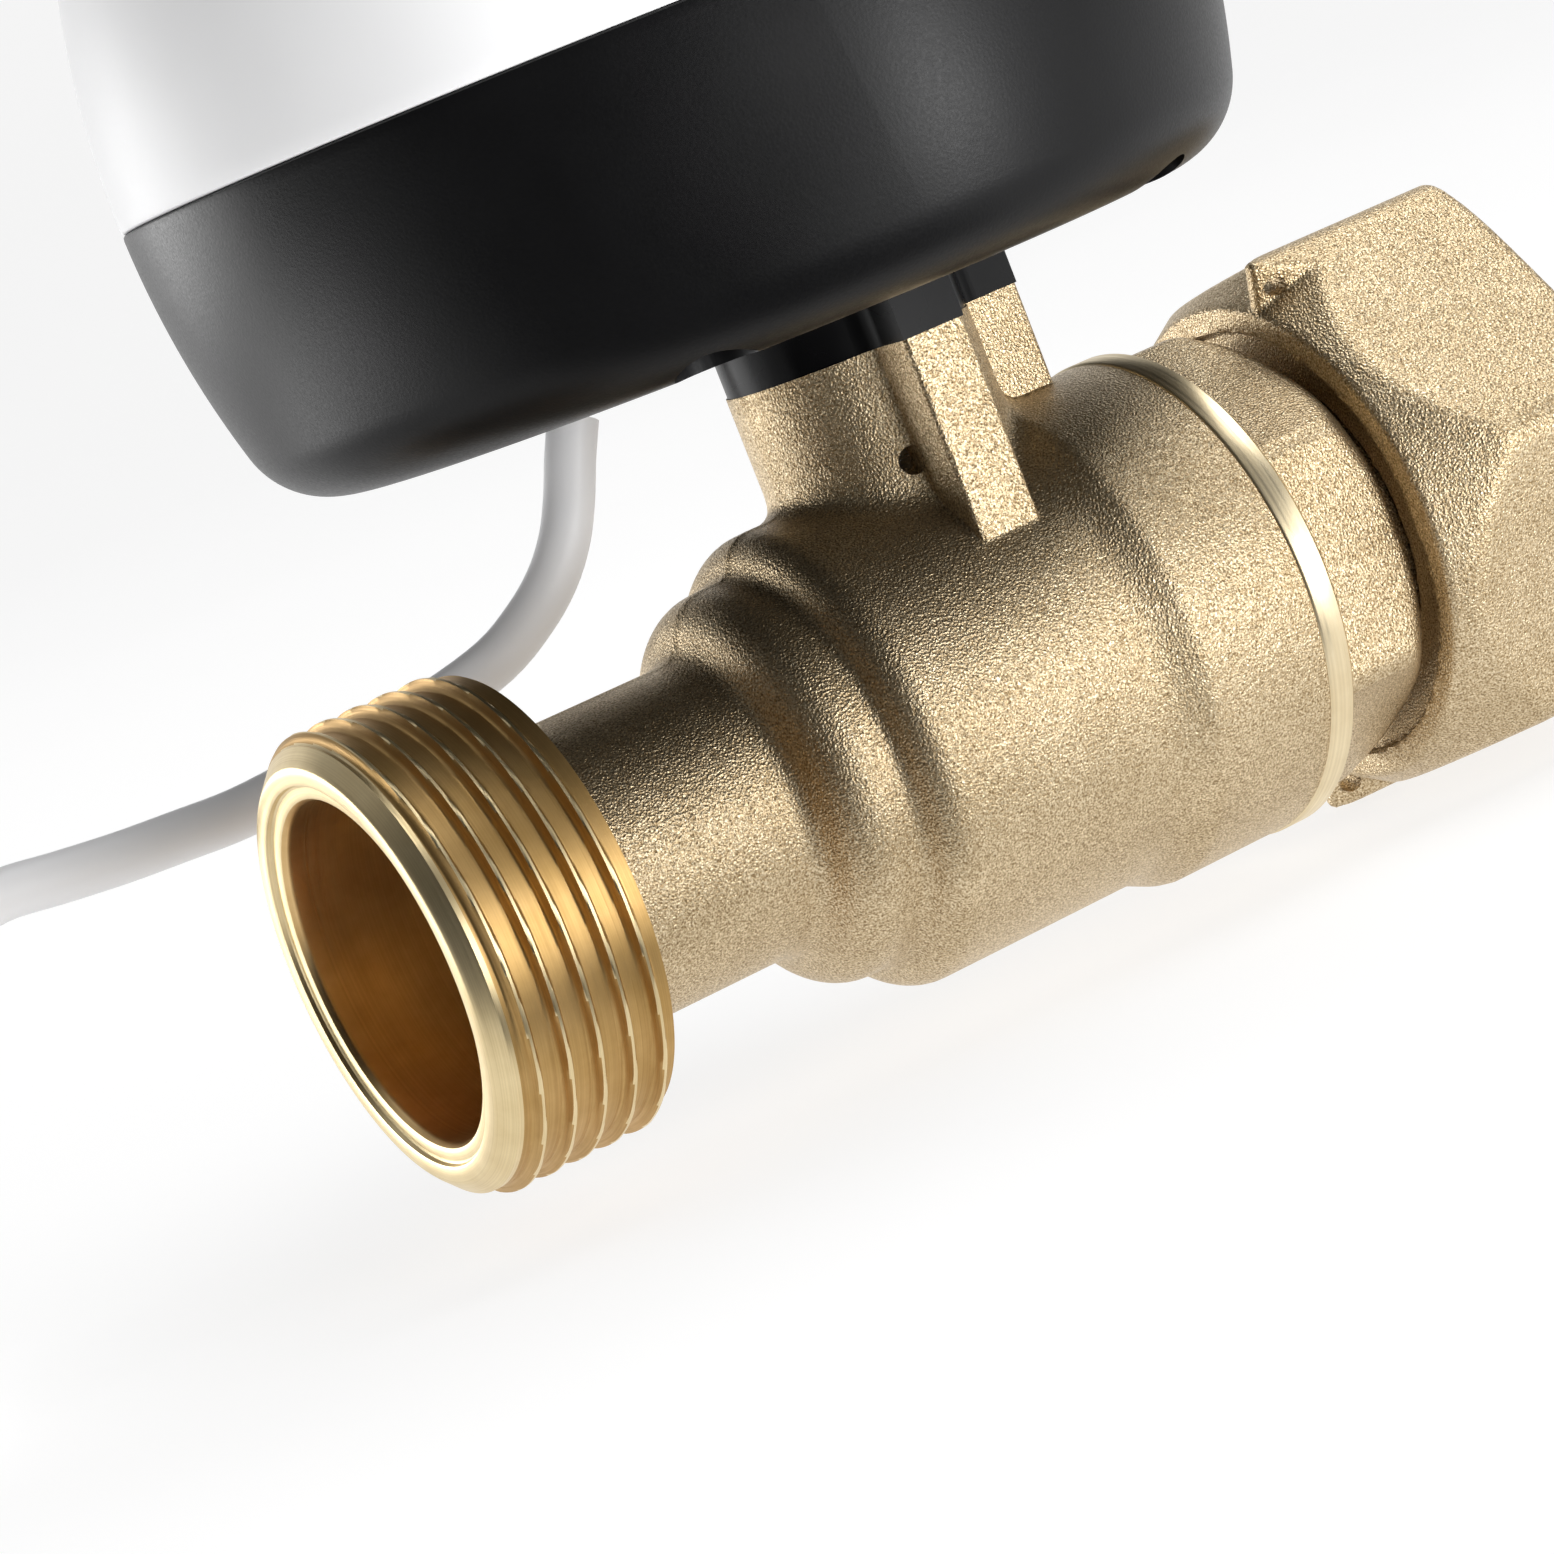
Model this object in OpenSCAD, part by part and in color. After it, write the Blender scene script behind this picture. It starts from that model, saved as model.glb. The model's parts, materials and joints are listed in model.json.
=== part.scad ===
// Motorised in-line water valve: brass ball valve with a swivel union nut and a round actuator on its neck.
// The pipe axis is X, the valve stem is along Z, and the origin is the centre of the male thread's end face.

/* [Brass body] */
// Major diameter of the male pipe thread
thread_d = 33.25; // [30:0.05:36]
// Length of the threaded end
thread_len = 13; // [11:0.5:15]
// Chamfer at the start of the male thread
thread_chamfer = 1.7; // [1:0.1:2.2]
// Diameter of the machined mouth inside the threaded end
mouth_d = 24.4; // [22:0.1:26]
// Depth of the machined mouth
mouth_depth = 10; // [6:0.5:12]
// Diameter of the waterway
bore_d = 16; // [14:0.1:17]
// Wall of the narrow tube behind the thread
tube_wall = 2.7; // [2:0.1:3.5]
// Length of the narrow tube
tube_len = 15.8; // [13:0.1:20]
// Rise of the first rounded shoulder above the tube
step_rise = 3.5; // [3:0.1:4.5]
// Length of the first rounded shoulder
step_len = 5.7; // [4.5:0.1:7]
// Wall of the ball chamber
chamber_wall = 2.7; // [2.2:0.1:4]
// Length of the open end ring
ring_len = 9.3; // [8:0.1:11]
// Wall of the end ring outside the screwed-in tail piece
ring_wall = 2.95; // [2.2:0.05:4]
// Width of the turned band at the end of the body
band_len = 2.2; // [1.5:0.1:3]

/* [Ball and seats] */
// Diameter of the ball
ball_d = 26; // [24:0.1:28]
// Free space round the ball
cavity_gap = 1; // [0.6:0.1:1.4]
// Outer diameter of the seat rings
seat_d = 25.1; // [23:0.1:25.5]
// Running gap between the ball and a seat
ball_fit = 0.03; // [0.02:0.01:0.08]

/* [Neck and stem] */
// Diameter of the round neck
neck_core_d = 17.6; // [17:0.1:20]
// Width of the neck's ribs
rib_w = 4.9; // [3.5:0.1:6]
// Reach of the front and back ribs from the stem axis
rib_reach = 12.8; // [11:0.1:14]
// Reach of the rib towards the union nut
rib_reach_nut = 13.2; // [11:0.1:14]
// Height of the neck's top above the pipe axis
neck_top = 25.3; // [24:0.1:28]
// Diameter of the screwed spigot on top of the neck
spigot_d = 15.2; // [14.6:0.1:16]
// Diameter of the stem
stem_d = 9; // [8:0.1:9.4]
// Width of the blade that turns the ball
blade_w = 4.84; // [4:0.02:5.4]
// Running gap round the stem
stem_fit = 0.05; // [0.03:0.01:0.1]
// Diameter of the weep hole in the neck
weep_d = 2; // [1.2:0.1:2.4]

/* [Union] */
// Height of the tail piece's hexagon flats above its screwed-in end
hex_over = 0.1; // [0:0.05:0.5]
// Length of the tail piece's hexagon
hex_len = 8.4; // [7:0.1:10]
// Outer diameter of the tail tube inside the nut
tail_d = 25.2; // [22:0.1:26]
// Width across the flats of the union nut
nut_af = 38.3; // [37:0.1:41]
// Length of the union nut
nut_len = 18.3; // [17:0.1:22]
// Rounding of the union nut's corners
nut_round = 3; // [1.5:0.1:4]
// Turn of the union nut at rest
nut_turn = 9.3; // [0:0.1:59.9]
// Depth of one thread flank
thread_depth = 1.479; // [1:0.001:1.6]
// Width of a seal ear at its front edge
ear_w = 1; // [0.8:0.1:1.6]
// Diameter of the seal wire hole
ear_hole_d = 1.4; // [1:0.1:1.6]

/* [Actuator housing] */
// Distance from the stem to the housing's axis
housing_shift = 5.25; // [0:0.05:6]
// Largest diameter of the housing
housing_d = 76.1; // [74:0.1:82]
// Radius of the housing's barrel curve
barrel_r = 65; // [55:1:120]
// Height of the black collar between the neck and the housing
collar_h = 3.8; // [3:0.1:5]
// Depth of the base from its underside to the seam
base_h = 21.6; // [21:0.1:24]
// Height of the white shell above the seam
shell_h = 28.3; // [26:0.1:34]
// Rounding of the base's lower edge
base_round = 6.3; // [4:0.1:8]
// Rounding of the shell's top edge
shell_round = 9; // [5:0.1:14]
// Wall of the housing
housing_wall = 2.4; // [1.8:0.1:3]
// Distance of the housing screws from the housing's largest diameter
screw_inset = 7.55; // [7.2:0.05:8.2]
// Angle of the housing screws from the front and the back
screw_angle = 34; // [32:1:36]
// Diameter of the screw head recess
recess_d = 5.6; // [5:0.1:6]

/* [Drive] */
// Tooth size of the slow pair of gears
slow_module = 0.6; // [0.5:0.05:0.6]
// Teeth of the output gear
output_teeth = 64; // [60:2:64]
// Teeth of the slow pinion and of the motor pinion
pinion_teeth = 16; // [16:1:18]
// Tooth size of the fast pair of gears
fast_module = 0.5; // [0.45:0.05:0.5]
// Teeth of the wheel on the idler
wheel_teeth = 44; // [42:1:46]
// Play between the teeth
backlash = 0.12; // [0.08:0.01:0.2]
// Thickness of the output gear
gear_t = 4; // [3:0.1:4]
// Diameter of the geared motor
motor_d = 18; // [15:0.1:18]
// Length of the geared motor
motor_len = 19; // [16:0.1:22]

/* [Cable] */
// Diameter of the cable
cable_d = 3.7; // [3.5:0.1:3.7]
// Turns in the coil
coil_turns = 5.25; // [3.25:1:7.25]
// Outermost radius of the coil at the cable's centre
coil_r = 24.2; // [24.2:0.1:28]

/* [Hidden] */
$fn = 96;
brass = "#b8965c";
steel = "#b9bcc0";
black = "#1c1c1e";
white = "#f1f1f3";
seal_black = "#2a2a2c";
ptfe = "#eceae4";
nylon = "#d9d6cc";
board_green = "#1f5b3a";

// Stations along the pipe axis
tube_x = thread_len + tube_len;
chamber_x = tube_x + step_len;
seat_len = 6.3;
seat_bite = 0.35;
seat_floor = ball_d / 2 - seat_bite;
stem_x = chamber_x + 2.2 + seat_floor;
cavity_d = ball_d + 2 * cavity_gap;
chamber_d = cavity_d + 2 * chamber_wall;
cavity_end = stem_x + ball_d / 2 - 5.15;
ramp_len = 2.6;
ring_x = cavity_end - 0.5;
spigot_in_d = cavity_d + 2;
ring_d = spigot_in_d + 2 * ring_wall;
band_d = ring_d + 0.3;
band_x = ring_x + ring_len;
body_end = band_x + band_len;
tube_d = bore_d + 2 * tube_wall;
step_d = tube_d + 2 * step_rise + 0.2;
pocket_d = seat_d + 0.1;
seat_bore_d = bore_d + 0.2;
screwed_gap = 0.03;

// Heights along the stem
slot_floor = bore_d / 2 + 0.8;
ball_flat = ball_d / 2 - 1.4;
flange_z = ball_flat + 0.3;
flange_t = 1.25;
washer_t = 0.8;
flange_d = 12;
washer_z = flange_z + flange_t + 0.05;
shoulder_z = washer_z + washer_t;
oring_wire = 1.4;
oring_low = shoulder_z + 1.2;
weep_z = oring_low + 2.2;
oring_high = weep_z + 2.2;
weep_turn = 252;
collar_top = neck_top + collar_h;
floor_z = collar_top + housing_wall;
spigot_top = floor_z + 3.5;
stem_flat_z = spigot_top + 0.2;
stem_top = stem_flat_z + 6.8;
flats_w = stem_d * 0.72;
seal_h = 2.4;

// Union stations
hex_end = body_end + hex_len;
tail_oring_x = body_end - 2.4;
nut_x = hex_end + 0.5;
nut_end = nut_x + nut_len;
web_x = nut_x + 1.2;
web_t = 2;
snap_wire = 1.4;
snap_x = web_x + web_t + 0.3 + snap_wire / 2;
tail_end = snap_x + snap_wire / 2 + 0.9;
gasket_t = 2;
gasket_end = tail_end + gasket_t;
nut_minor_d = thread_d - 2 * thread_depth;
relief_d = nut_minor_d + 1;
nut_lead_in = 0.8;
rim_d = nut_af - 2.2;
nut_tip_r = (nut_af / 2 - nut_round) / cos(30) + nut_round;
hex_af = spigot_in_d + 2 * hex_over;
hex_tip_r = hex_af * 0.566;
hex_end_r = hex_af * 0.507;
cone_slope = tan(30);
ear_flare = 0.42;

// Housing
housing_x = stem_x - housing_shift;
seam_z = collar_top + base_h;
shell_top = seam_z + shell_h;
barrel_c = housing_d / 2 - barrel_r;
base_c_z = collar_top + base_round;
base_c_r = barrel_c + sqrt(pow(barrel_r - base_round, 2) - pow(seam_z - base_c_z, 2));
top_c_z = shell_top - shell_round;
top_c_r = barrel_c + sqrt(pow(barrel_r - shell_round, 2) - pow(top_c_z - seam_z, 2));
screw_ring_r = housing_d / 2 - screw_inset;
recess_depth = 6.6;
boss_d = 9.2;
boss_top = collar_top + 16.9;
screw_d = 3;
screw_len = 20;
lip_gap = 0.25;
lip_t = 1.2;
gasket_w = 1.2;
gasket_h = 0.8;
screw_turns = [270 - screw_angle, 270 + screw_angle, 90 - screw_angle, 90 + screw_angle];

// Gear train
pressure = 20;
slow_distance = slow_module * (output_teeth + pinion_teeth) / 2;
fast_distance = fast_module * (wheel_teeth + pinion_teeth) / 2;
idler_x = stem_x - slow_distance;
motor_turn = 60;
motor_x = idler_x + fast_distance * cos(motor_turn);
motor_y = fast_distance * sin(motor_turn);
idler_turn = 180 + 180 + 180 * output_teeth / pinion_teeth + 180 / pinion_teeth;
pinion_turn = motor_turn + 180 + motor_turn * wheel_teeth / pinion_teeth + 180 / pinion_teeth;
hub_d = 12;
hub_flange_d = 22;
hub_z = spigot_top + 0.4;
gear_z = hub_z + 2.2;
axle_d = 3;
axle_boss_d = 6.4;
axle_boss_top = gear_z - 1;
run_fit = 0.06;
idler_z = axle_boss_top + 0.3;
wheel_z = gear_z + gear_t + 1.2;
wheel_t = 2.8;
plate_z = wheel_z + wheel_t + 1;
plate_t = 2;
plate_top = plate_z + plate_t;
plate_d = housing_d - 2 * housing_wall - 5.3;
cam_z = plate_top + 0.8;
cam_t = 2.4;
cam_d = 15;
cam_reach = 10.6;
hub_top = cam_z + cam_t + 2;
post_d = 5.2;
posts = [[-8, -25], [-8, 25], [28.5, 0]];
board_z = plate_top + 7.4;
board_t = 1.6;
board_d = 61;
pillar_d = 4.4;
pillars = [[22, 13], [22, -13], [-12, -20]];
switch_size = [12.8, 5.8, 6.2];
shaft_d = 2.4;

// Cable
grommet_xy = [35.6, 16];
grommet_d = 9.2;
grommet_neck_d = 7.2;
grommet_low = collar_top - 1.5;
lead_route = [[35.6, 16, 27.6], [35, 16, 26.5], [34.2, 16, 25], [33, 16, 22.5], [31.5, 16, 20],
    [29.7, 16.6, 17.7], [27.4, 17.6, 15.7], [24.4, 19, 13.9], [20, 21, 12.6], [14.9, 23, 11.7],
    [10.1, 24.4, 11.2], [4.8, 25.4, 10.8], [0.3, 25.8, 11], [-4.4, 26, 11.3], [-9, 26, 11.8],
    [-13.5, 26, 12.3],
    [-17.7, 25.2, 11.6], [-21.5, 24, 9.8], [-24.6, 22.6, 6.8], [-26.7, 21.2, 3.1],
    [-28.8, 19.9, -2.7], [-30.9, 17.9, -8.5], [-33, 15.4, -12.2], [-36, 13.5, -15.2],
    [-39.9, 12.9, -17], [-44.8, 13.2, -17.7]];
lead_end = lead_route[len(lead_route) - 1];
coil_xy = [lead_end[0] - cable_d, lead_end[1] + coil_r];
coil_step = cable_d + 0.55;
coil_lift = cable_d + 0.55;
coil_tail = 6;
rings_per_turn = 24;
tie_turn = 60;
tie_w = 4;
tie_t = 0.8;
tie_gap = 0.3;
connector_d = 12.6;
connector_len = 20;

// Shared shapes
function polar(r, a) = [r * cos(a), r * sin(a)];
module along_x() { rotate([0, 90, 0]) children(); }
module at_housing() { translate([housing_x, 0, 0]) children(); }
module at_stem() { translate([stem_x, 0, 0]) children(); }
module at_screws() {
    at_housing() for (a = screw_turns) rotate(a) translate([screw_ring_r, 0, 0]) children();
}
module at_places(list) { at_housing() for (p = list) translate([p[0], p[1], 0]) children(); }
module span(r, x0, x1) { translate([0, x0]) square([r, x1 - x0]); }
module rounded_span(r, x0, x1, e) {
    span(r - e, x0, x1);
    span(r, x0 + e, x1);
    translate([r - e, x0 + e]) circle(e);
}
module cove(r, x, e) {
    difference() {
        translate([r - 0.2, x - e]) square([e + 0.2, e + 0.2]);
        translate([r + e, x - e]) circle(e);
    }
}
module rod(d, z0, z1) { translate([0, 0, z0]) cylinder(d = d, h = z1 - z0); }
module tube(d_out, d_in, z0, z1) {
    difference() {
        rod(d_out, z0, z1);
        rod(d_in, z0 - 1, z1 + 1);
    }
}
module wire_ring(d_mid, d_wire) { rotate_extrude() translate([d_mid / 2, 0]) circle(d = d_wire); }
module hexagon(af) { circle(d = af / cos(30), $fn = 6); }

// Brass body
module body_outline() {
    r = thread_d / 2;
    back = 1.4;
    polygon([[0, 0], [r - thread_chamfer, 0], [r, thread_chamfer], [r, thread_len - back],
        [r - back, thread_len], [0, thread_len]]);
    span(tube_d / 2, thread_len - 1, tube_x + 1);
    rounded_span(step_d / 2, tube_x, chamber_x + 1, step_rise);
    cove(tube_d / 2, tube_x, 1.2);
    rounded_span(chamber_d / 2, chamber_x, ring_x, 2.4);
    polygon([[0, ring_x - ramp_len], [chamber_d / 2, ring_x - ramp_len], [ring_d / 2, ring_x],
        [ring_d / 2, band_x], [0, band_x]]);
    span(band_d / 2, band_x, body_end);
}
module body_bores() {
    polygon([[0, -1], [mouth_d / 2, -1], [mouth_d / 2, mouth_depth], [bore_d / 2, mouth_depth + 2],
        [0, mouth_depth + 2]]);
    span(bore_d / 2, mouth_depth, stem_x);
    span(pocket_d / 2, stem_x - seat_floor, stem_x);
    span(cavity_d / 2, stem_x - seat_floor + 3.5, cavity_end + 1);
    span(spigot_in_d / 2, cavity_end, body_end + 1);
}
module rib(reach, turn) {
    blend = 2;
    side = rib_w / 2;
    c = sqrt(pow(neck_core_d / 2 + blend, 2) - pow(side + blend, 2));
    rotate(turn) {
        translate([0, -side]) square([reach, rib_w]);
        for (s = [0, 1]) mirror([0, s]) difference() {
            polygon([[0, 0], [c, 0], [c, side + blend]]);
            translate([c, side + blend]) circle(blend);
        }
    }
}
module neck_plan() {
    circle(d = neck_core_d);
    rib(rib_reach, 270);
    rib(rib_reach, 90);
    rib(rib_reach_nut, 0);
}
module valve_body() {
    color(brass) difference() {
        union() {
            along_x() rotate_extrude() body_outline();
            at_stem() {
                linear_extrude(neck_top) neck_plan();
                rod(spigot_d, neck_top - 1, spigot_top);
            }
        }
        along_x() rotate_extrude() body_bores();
        at_stem() {
            rod(stem_d + 2 * stem_fit, 0, spigot_top + 1);
            rod(flange_d + 0.6, 0, shoulder_z);
            rod(spigot_d - 3, spigot_top - seal_h, spigot_top + 1);
            rotate(weep_turn) translate([0, 0, weep_z]) along_x() rod(weep_d, 0, neck_core_d);
        }
    }
}

// Union
module tail_piece() {
    r_in = spigot_in_d / 2 - screwed_gap;
    groove_w = 1.7;
    drop = hex_tip_r - hex_end_r;
    color(brass) difference() {
        union() {
            along_x() {
                rod(2 * r_in, cavity_end + 0.2, body_end);
                rod(tail_d, hex_end - 1, tail_end);
            }
            intersection() {
                translate([body_end, 0, 0]) along_x() linear_extrude(hex_len) hexagon(hex_af);
                along_x() rotate_extrude() chamfered_span(hex_tip_r, body_end - 1, hex_end, drop, 1.9);
            }
        }
        along_x() {
            rod(bore_d, cavity_end - 1, tail_end + 1);
            rod(pocket_d, cavity_end - 1, stem_x + seat_floor);
            tube(2 * r_in + 2, 2 * r_in - 3.1, tail_oring_x - groove_w / 2, tail_oring_x + groove_w / 2);
            tube(tail_d + 2, tail_d - 1.3, snap_x - snap_wire / 2 - 0.05, snap_x + snap_wire / 2 + 0.05);
        }
    }
}
module chamfered_span(r, x0, x1, drop, run) {
    polygon([[0, x0], [r, x0], [r, x1 - run], [r - drop, x1], [0, x1]]);
}
module tail_oring() {
    color(seal_black) translate([tail_oring_x, 0, 0]) along_x() {
        wire_ring(spigot_in_d - 2 * screwed_gap - 1.5, 1.46);
    }
}
module nut_envelope() {
    polygon([[0, nut_x], [rim_d / 2, nut_x], [rim_d / 2 + cone_slope * nut_len, nut_end], [0, nut_end]]);
}
module nut_front() {
    chamfered_span(nut_tip_r, nut_x - 1, nut_end, 1.6, 0.8);
}
module seal_ear() {
    rim = rim_d / 2;
    tip = nut_tip_r + 1;
    front = nut_x + 0.3;
    back = nut_x + (tip - rim) / cone_slope;
    edge = ear_w / 2;
    flare = edge + ear_flare * (back - front);
    difference() {
        translate([0, 0, rim - 1.2]) linear_extrude(tip - rim + 1.2) {
            polygon([[front, -edge], [back, -flare], [back, flare], [front, edge]]);
        }
        translate([nut_x + 1.7, 0, (rim + nut_tip_r) / 2]) rotate([90, 0, 0]) {
            cylinder(d = ear_hole_d, h = 4 * flare, center = true);
        }
    }
}
module union_nut() {
    color(brass) rotate([-nut_turn, 0, 0]) difference() {
        intersection() {
            translate([nut_x, 0, 0]) along_x() rotate(90) linear_extrude(nut_len) hexagon(nut_af);
            along_x() rotate_extrude() nut_front();
            union() {
                along_x() rotate_extrude() nut_envelope();
                for (a = [30, 210]) rotate([a, 0, 0]) seal_ear();
            }
        }
        along_x() {
            rod(rim_d - 3.6, nut_x - 1, web_x);
            rod(tail_d + 0.6, nut_x - 1, nut_end);
            rod(relief_d, web_x + web_t, gasket_end + 0.3);
            rod(nut_minor_d, web_x + web_t, nut_end + 1);
            translate([0, 0, nut_end - nut_lead_in]) {
                cylinder(d1 = nut_minor_d, d2 = nut_minor_d + 4 * nut_lead_in, h = 2 * nut_lead_in);
            }
        }
    }
}
module nut_snap_ring() {
    color(steel) translate([snap_x, 0, 0]) along_x() wire_ring(tail_d + 0.2, snap_wire);
}
module union_gasket() {
    color(seal_black) along_x() tube(nut_minor_d - 1.3, bore_d + 1, tail_end, gasket_end);
}

// Ball, seats and stem
module ball() {
    color(steel) at_stem() difference() {
        sphere(d = ball_d);
        along_x() rod(bore_d, -ball_d, ball_d);
        translate([-ball_d, -ball_d, ball_flat]) cube(2 * ball_d);
        translate([-blade_w / 2 - 0.08, -ball_d, slot_floor]) cube([blade_w + 0.16, 2 * ball_d, ball_d]);
    }
}
module seat(side) {
    at_stem() mirror([side, 0, 0]) difference() {
        along_x() tube(seat_d, seat_bore_d, -seat_floor, -seat_floor + seat_len);
        sphere(d = ball_d + 2 * ball_fit);
    }
}
module seat_outlet() { color(ptfe) seat(0); }
module seat_inlet() { color(ptfe) seat(1); }
module valve_stem() {
    blade_l = 11;
    color(steel) at_stem() difference() {
        union() {
            translate([-blade_w / 2, -blade_l / 2, slot_floor + 0.3]) {
                cube([blade_w, blade_l, flange_z - slot_floor]);
            }
            rod(flange_d, flange_z, flange_z + flange_t);
            rod(stem_d, flange_z, stem_top);
        }
        for (z = [oring_low, oring_high]) {
            tube(stem_d + 2, stem_d - 2 * oring_wire, z - oring_wire / 2 - 0.1, z + oring_wire / 2 + 0.1);
        }
        for (s = [0, 1]) mirror([s, 0, 0]) translate([flats_w / 2, -stem_d, stem_flat_z]) cube(2 * stem_d);
    }
}
module stem_orings() {
    color(seal_black) at_stem() for (z = [oring_low, oring_high]) translate([0, 0, z]) {
        wire_ring(stem_d + 2 * stem_fit - 0.04 - oring_wire, oring_wire);
    }
}
module thrust_washer() {
    color(ptfe) at_stem() tube(flange_d, stem_d + 4 * stem_fit, washer_z, shoulder_z);
}
module shaft_seal() {
    color(seal_black) at_stem() tube(spigot_d - 3.1, stem_d + 2 * stem_fit, spigot_top - seal_h, spigot_top);
}

// Housing
module neck_collar() {
    color(black) at_stem() difference() {
        translate([0, 0, neck_top]) linear_extrude(collar_h) neck_plan();
        rod(spigot_d + 0.2, neck_top - 1, collar_top + 1);
    }
}
module clamp_nut() {
    color(brass) at_stem() difference() {
        translate([0, 0, floor_z]) linear_extrude(3) hexagon(spigot_d + 5.8);
        rod(spigot_d + 0.1, floor_z - 1, floor_z + 5);
    }
}
module base_profile(inset) {
    e = base_round - inset;
    reach = barrel_r - base_round;
    tangent_z = base_c_z - e * (seam_z - base_c_z) / reach;
    intersection() {
        translate([barrel_c, seam_z]) circle(barrel_r - inset, $fn = 360);
        translate([0, tangent_z]) square([housing_d, seam_z - tangent_z]);
    }
    translate([base_c_r, base_c_z]) circle(e);
    translate([0, collar_top + inset]) square([base_c_r, seam_z - collar_top - inset]);
}
module shell_profile(inset) {
    e = shell_round - inset;
    reach = barrel_r - shell_round;
    tangent_z = top_c_z + e * (top_c_z - seam_z) / reach;
    intersection() {
        translate([barrel_c, seam_z]) circle(barrel_r - inset, $fn = 360);
        translate([0, seam_z]) square([housing_d, tangent_z - seam_z]);
    }
    translate([top_c_r, top_c_z]) circle(e);
    translate([0, seam_z]) square([top_c_r, shell_h - inset]);
}
module base_housing() {
    rim_r = housing_d / 2 - housing_wall / 2;
    color(black) difference() {
        union() {
            at_housing() rotate_extrude() difference() {
                base_profile(0);
                base_profile(housing_wall);
            }
            intersection() {
                at_housing() rotate_extrude() base_profile(0);
                union() {
                    at_screws() rod(boss_d, collar_top, boss_top);
                    at_places(posts) rod(post_d, collar_top + 1, plate_z);
                    translate([idler_x, 0, 0]) rod(axle_boss_d, collar_top + 1, axle_boss_top);
                }
            }
        }
        at_stem() rod(spigot_d + 0.2, collar_top - 1, floor_z + 1);
        at_screws() {
            rod(recess_d, collar_top - 1, collar_top + recess_depth);
            rod(screw_d + 0.4, collar_top, boss_top + 1);
        }
        at_places(posts) rod(2, plate_z - 9, plate_z + 1);
        translate([idler_x, 0, 0]) rod(axle_d + 0.02, floor_z + 0.6, axle_boss_top + 1);
        translate(grommet_xy) rod(grommet_neck_d + 0.1, collar_top - 1, floor_z + 1);
        at_housing() {
            tube(2 * rim_r + gasket_w + 0.1, 2 * rim_r - gasket_w - 0.1, seam_z - gasket_h, seam_z + 1);
        }
    }
}
module upper_shell() {
    lip_r = housing_d / 2 - housing_wall - lip_gap;
    color(white) difference() {
        union() {
            at_housing() rotate_extrude() difference() {
                shell_profile(0);
                shell_profile(housing_wall);
            }
            at_housing() {
                tube(2 * lip_r, 2 * (lip_r - lip_t), seam_z - 1.7, seam_z + 1);
                tube(housing_d - housing_wall, 2 * (lip_r - lip_t), seam_z, seam_z + 1);
            }
            intersection() {
                at_housing() rotate_extrude() {
                    shell_profile(0);
                    translate([0, boss_top]) square([housing_d, seam_z - boss_top]);
                }
                at_screws() rod(boss_d - 0.8, boss_top, shell_top);
            }
        }
        at_screws() rod(screw_d, boss_top - 1, collar_top + recess_depth + screw_len);
    }
}
module shell_gasket() {
    rim_d2 = housing_d - housing_wall;
    color(seal_black) at_housing() tube(rim_d2 + gasket_w, rim_d2 - gasket_w, seam_z - gasket_h, seam_z);
}
module housing_screws() {
    head_z = collar_top + recess_depth - 2.2;
    color(steel) at_screws() difference() {
        union() {
            rod(recess_d - 0.4, head_z, head_z + 2.2);
            rod(screw_d - 0.06, head_z, head_z + screw_len);
        }
        translate([0, 0, head_z - 1]) cylinder(d = 2.4, h = 2.2, $fn = 6);
    }
}

// Drive train
function roll_angle(r, rb) = let (a = acos(min(1, rb / r))) tan(a) * 180 / PI - a;
function tooth_half(r, rb, rp, m) =
    (PI * m / 2 - backlash) / 2 / rp * 180 / PI + roll_angle(rp, rb) - roll_angle(r, rb);
module gear_plan(teeth, m) {
    rp = teeth * m / 2;
    rb = rp * cos(pressure);
    tip = rp + 0.9 * m;
    root = rp - 1.2 * m;
    foot = max(rb, root);
    steps = 3;
    radii = [for (i = [0:steps]) foot + (tip - foot) * i / steps];
    polygon([for (k = [0:teeth - 1]) let (c = 360 * k / teeth, w = tooth_half(foot, rb, rp, m)) each concat(
        [polar(root, c - w)],
        [for (r = radii) polar(r, c - tooth_half(r, rb, rp, m))],
        [for (i = [steps:-1:0]) polar(radii[i], c + tooth_half(radii[i], rb, rp, m))],
        [polar(root, c + w)])]);
}
module drive_coupling() {
    color(nylon) at_stem() difference() {
        union() {
            rod(hub_d, hub_z, cam_z);
            rod(hub_flange_d, hub_z + 0.6, gear_z);
            rod(hub_d - 2, hub_z, hub_top);
        }
        intersection() {
            rod(stem_d + 0.1, hub_z - 1, stem_top + 0.3);
            translate([-flats_w / 2 - 0.05, -stem_d, hub_z - 1]) {
                cube([flats_w + 0.1, 2 * stem_d, stem_top - hub_z + 1.3]);
            }
        }
    }
}
module output_gear() {
    rp = output_teeth * slow_module / 2;
    holes = 6;
    color(nylon) at_stem() translate([0, 0, gear_z]) linear_extrude(gear_t) difference() {
        gear_plan(output_teeth, slow_module);
        circle(d = hub_d + 0.04);
        for (k = [0:holes - 1]) rotate(360 * (k + 0.5) / holes) translate([rp * 0.7, 0]) circle(d = 5);
    }
}
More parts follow.
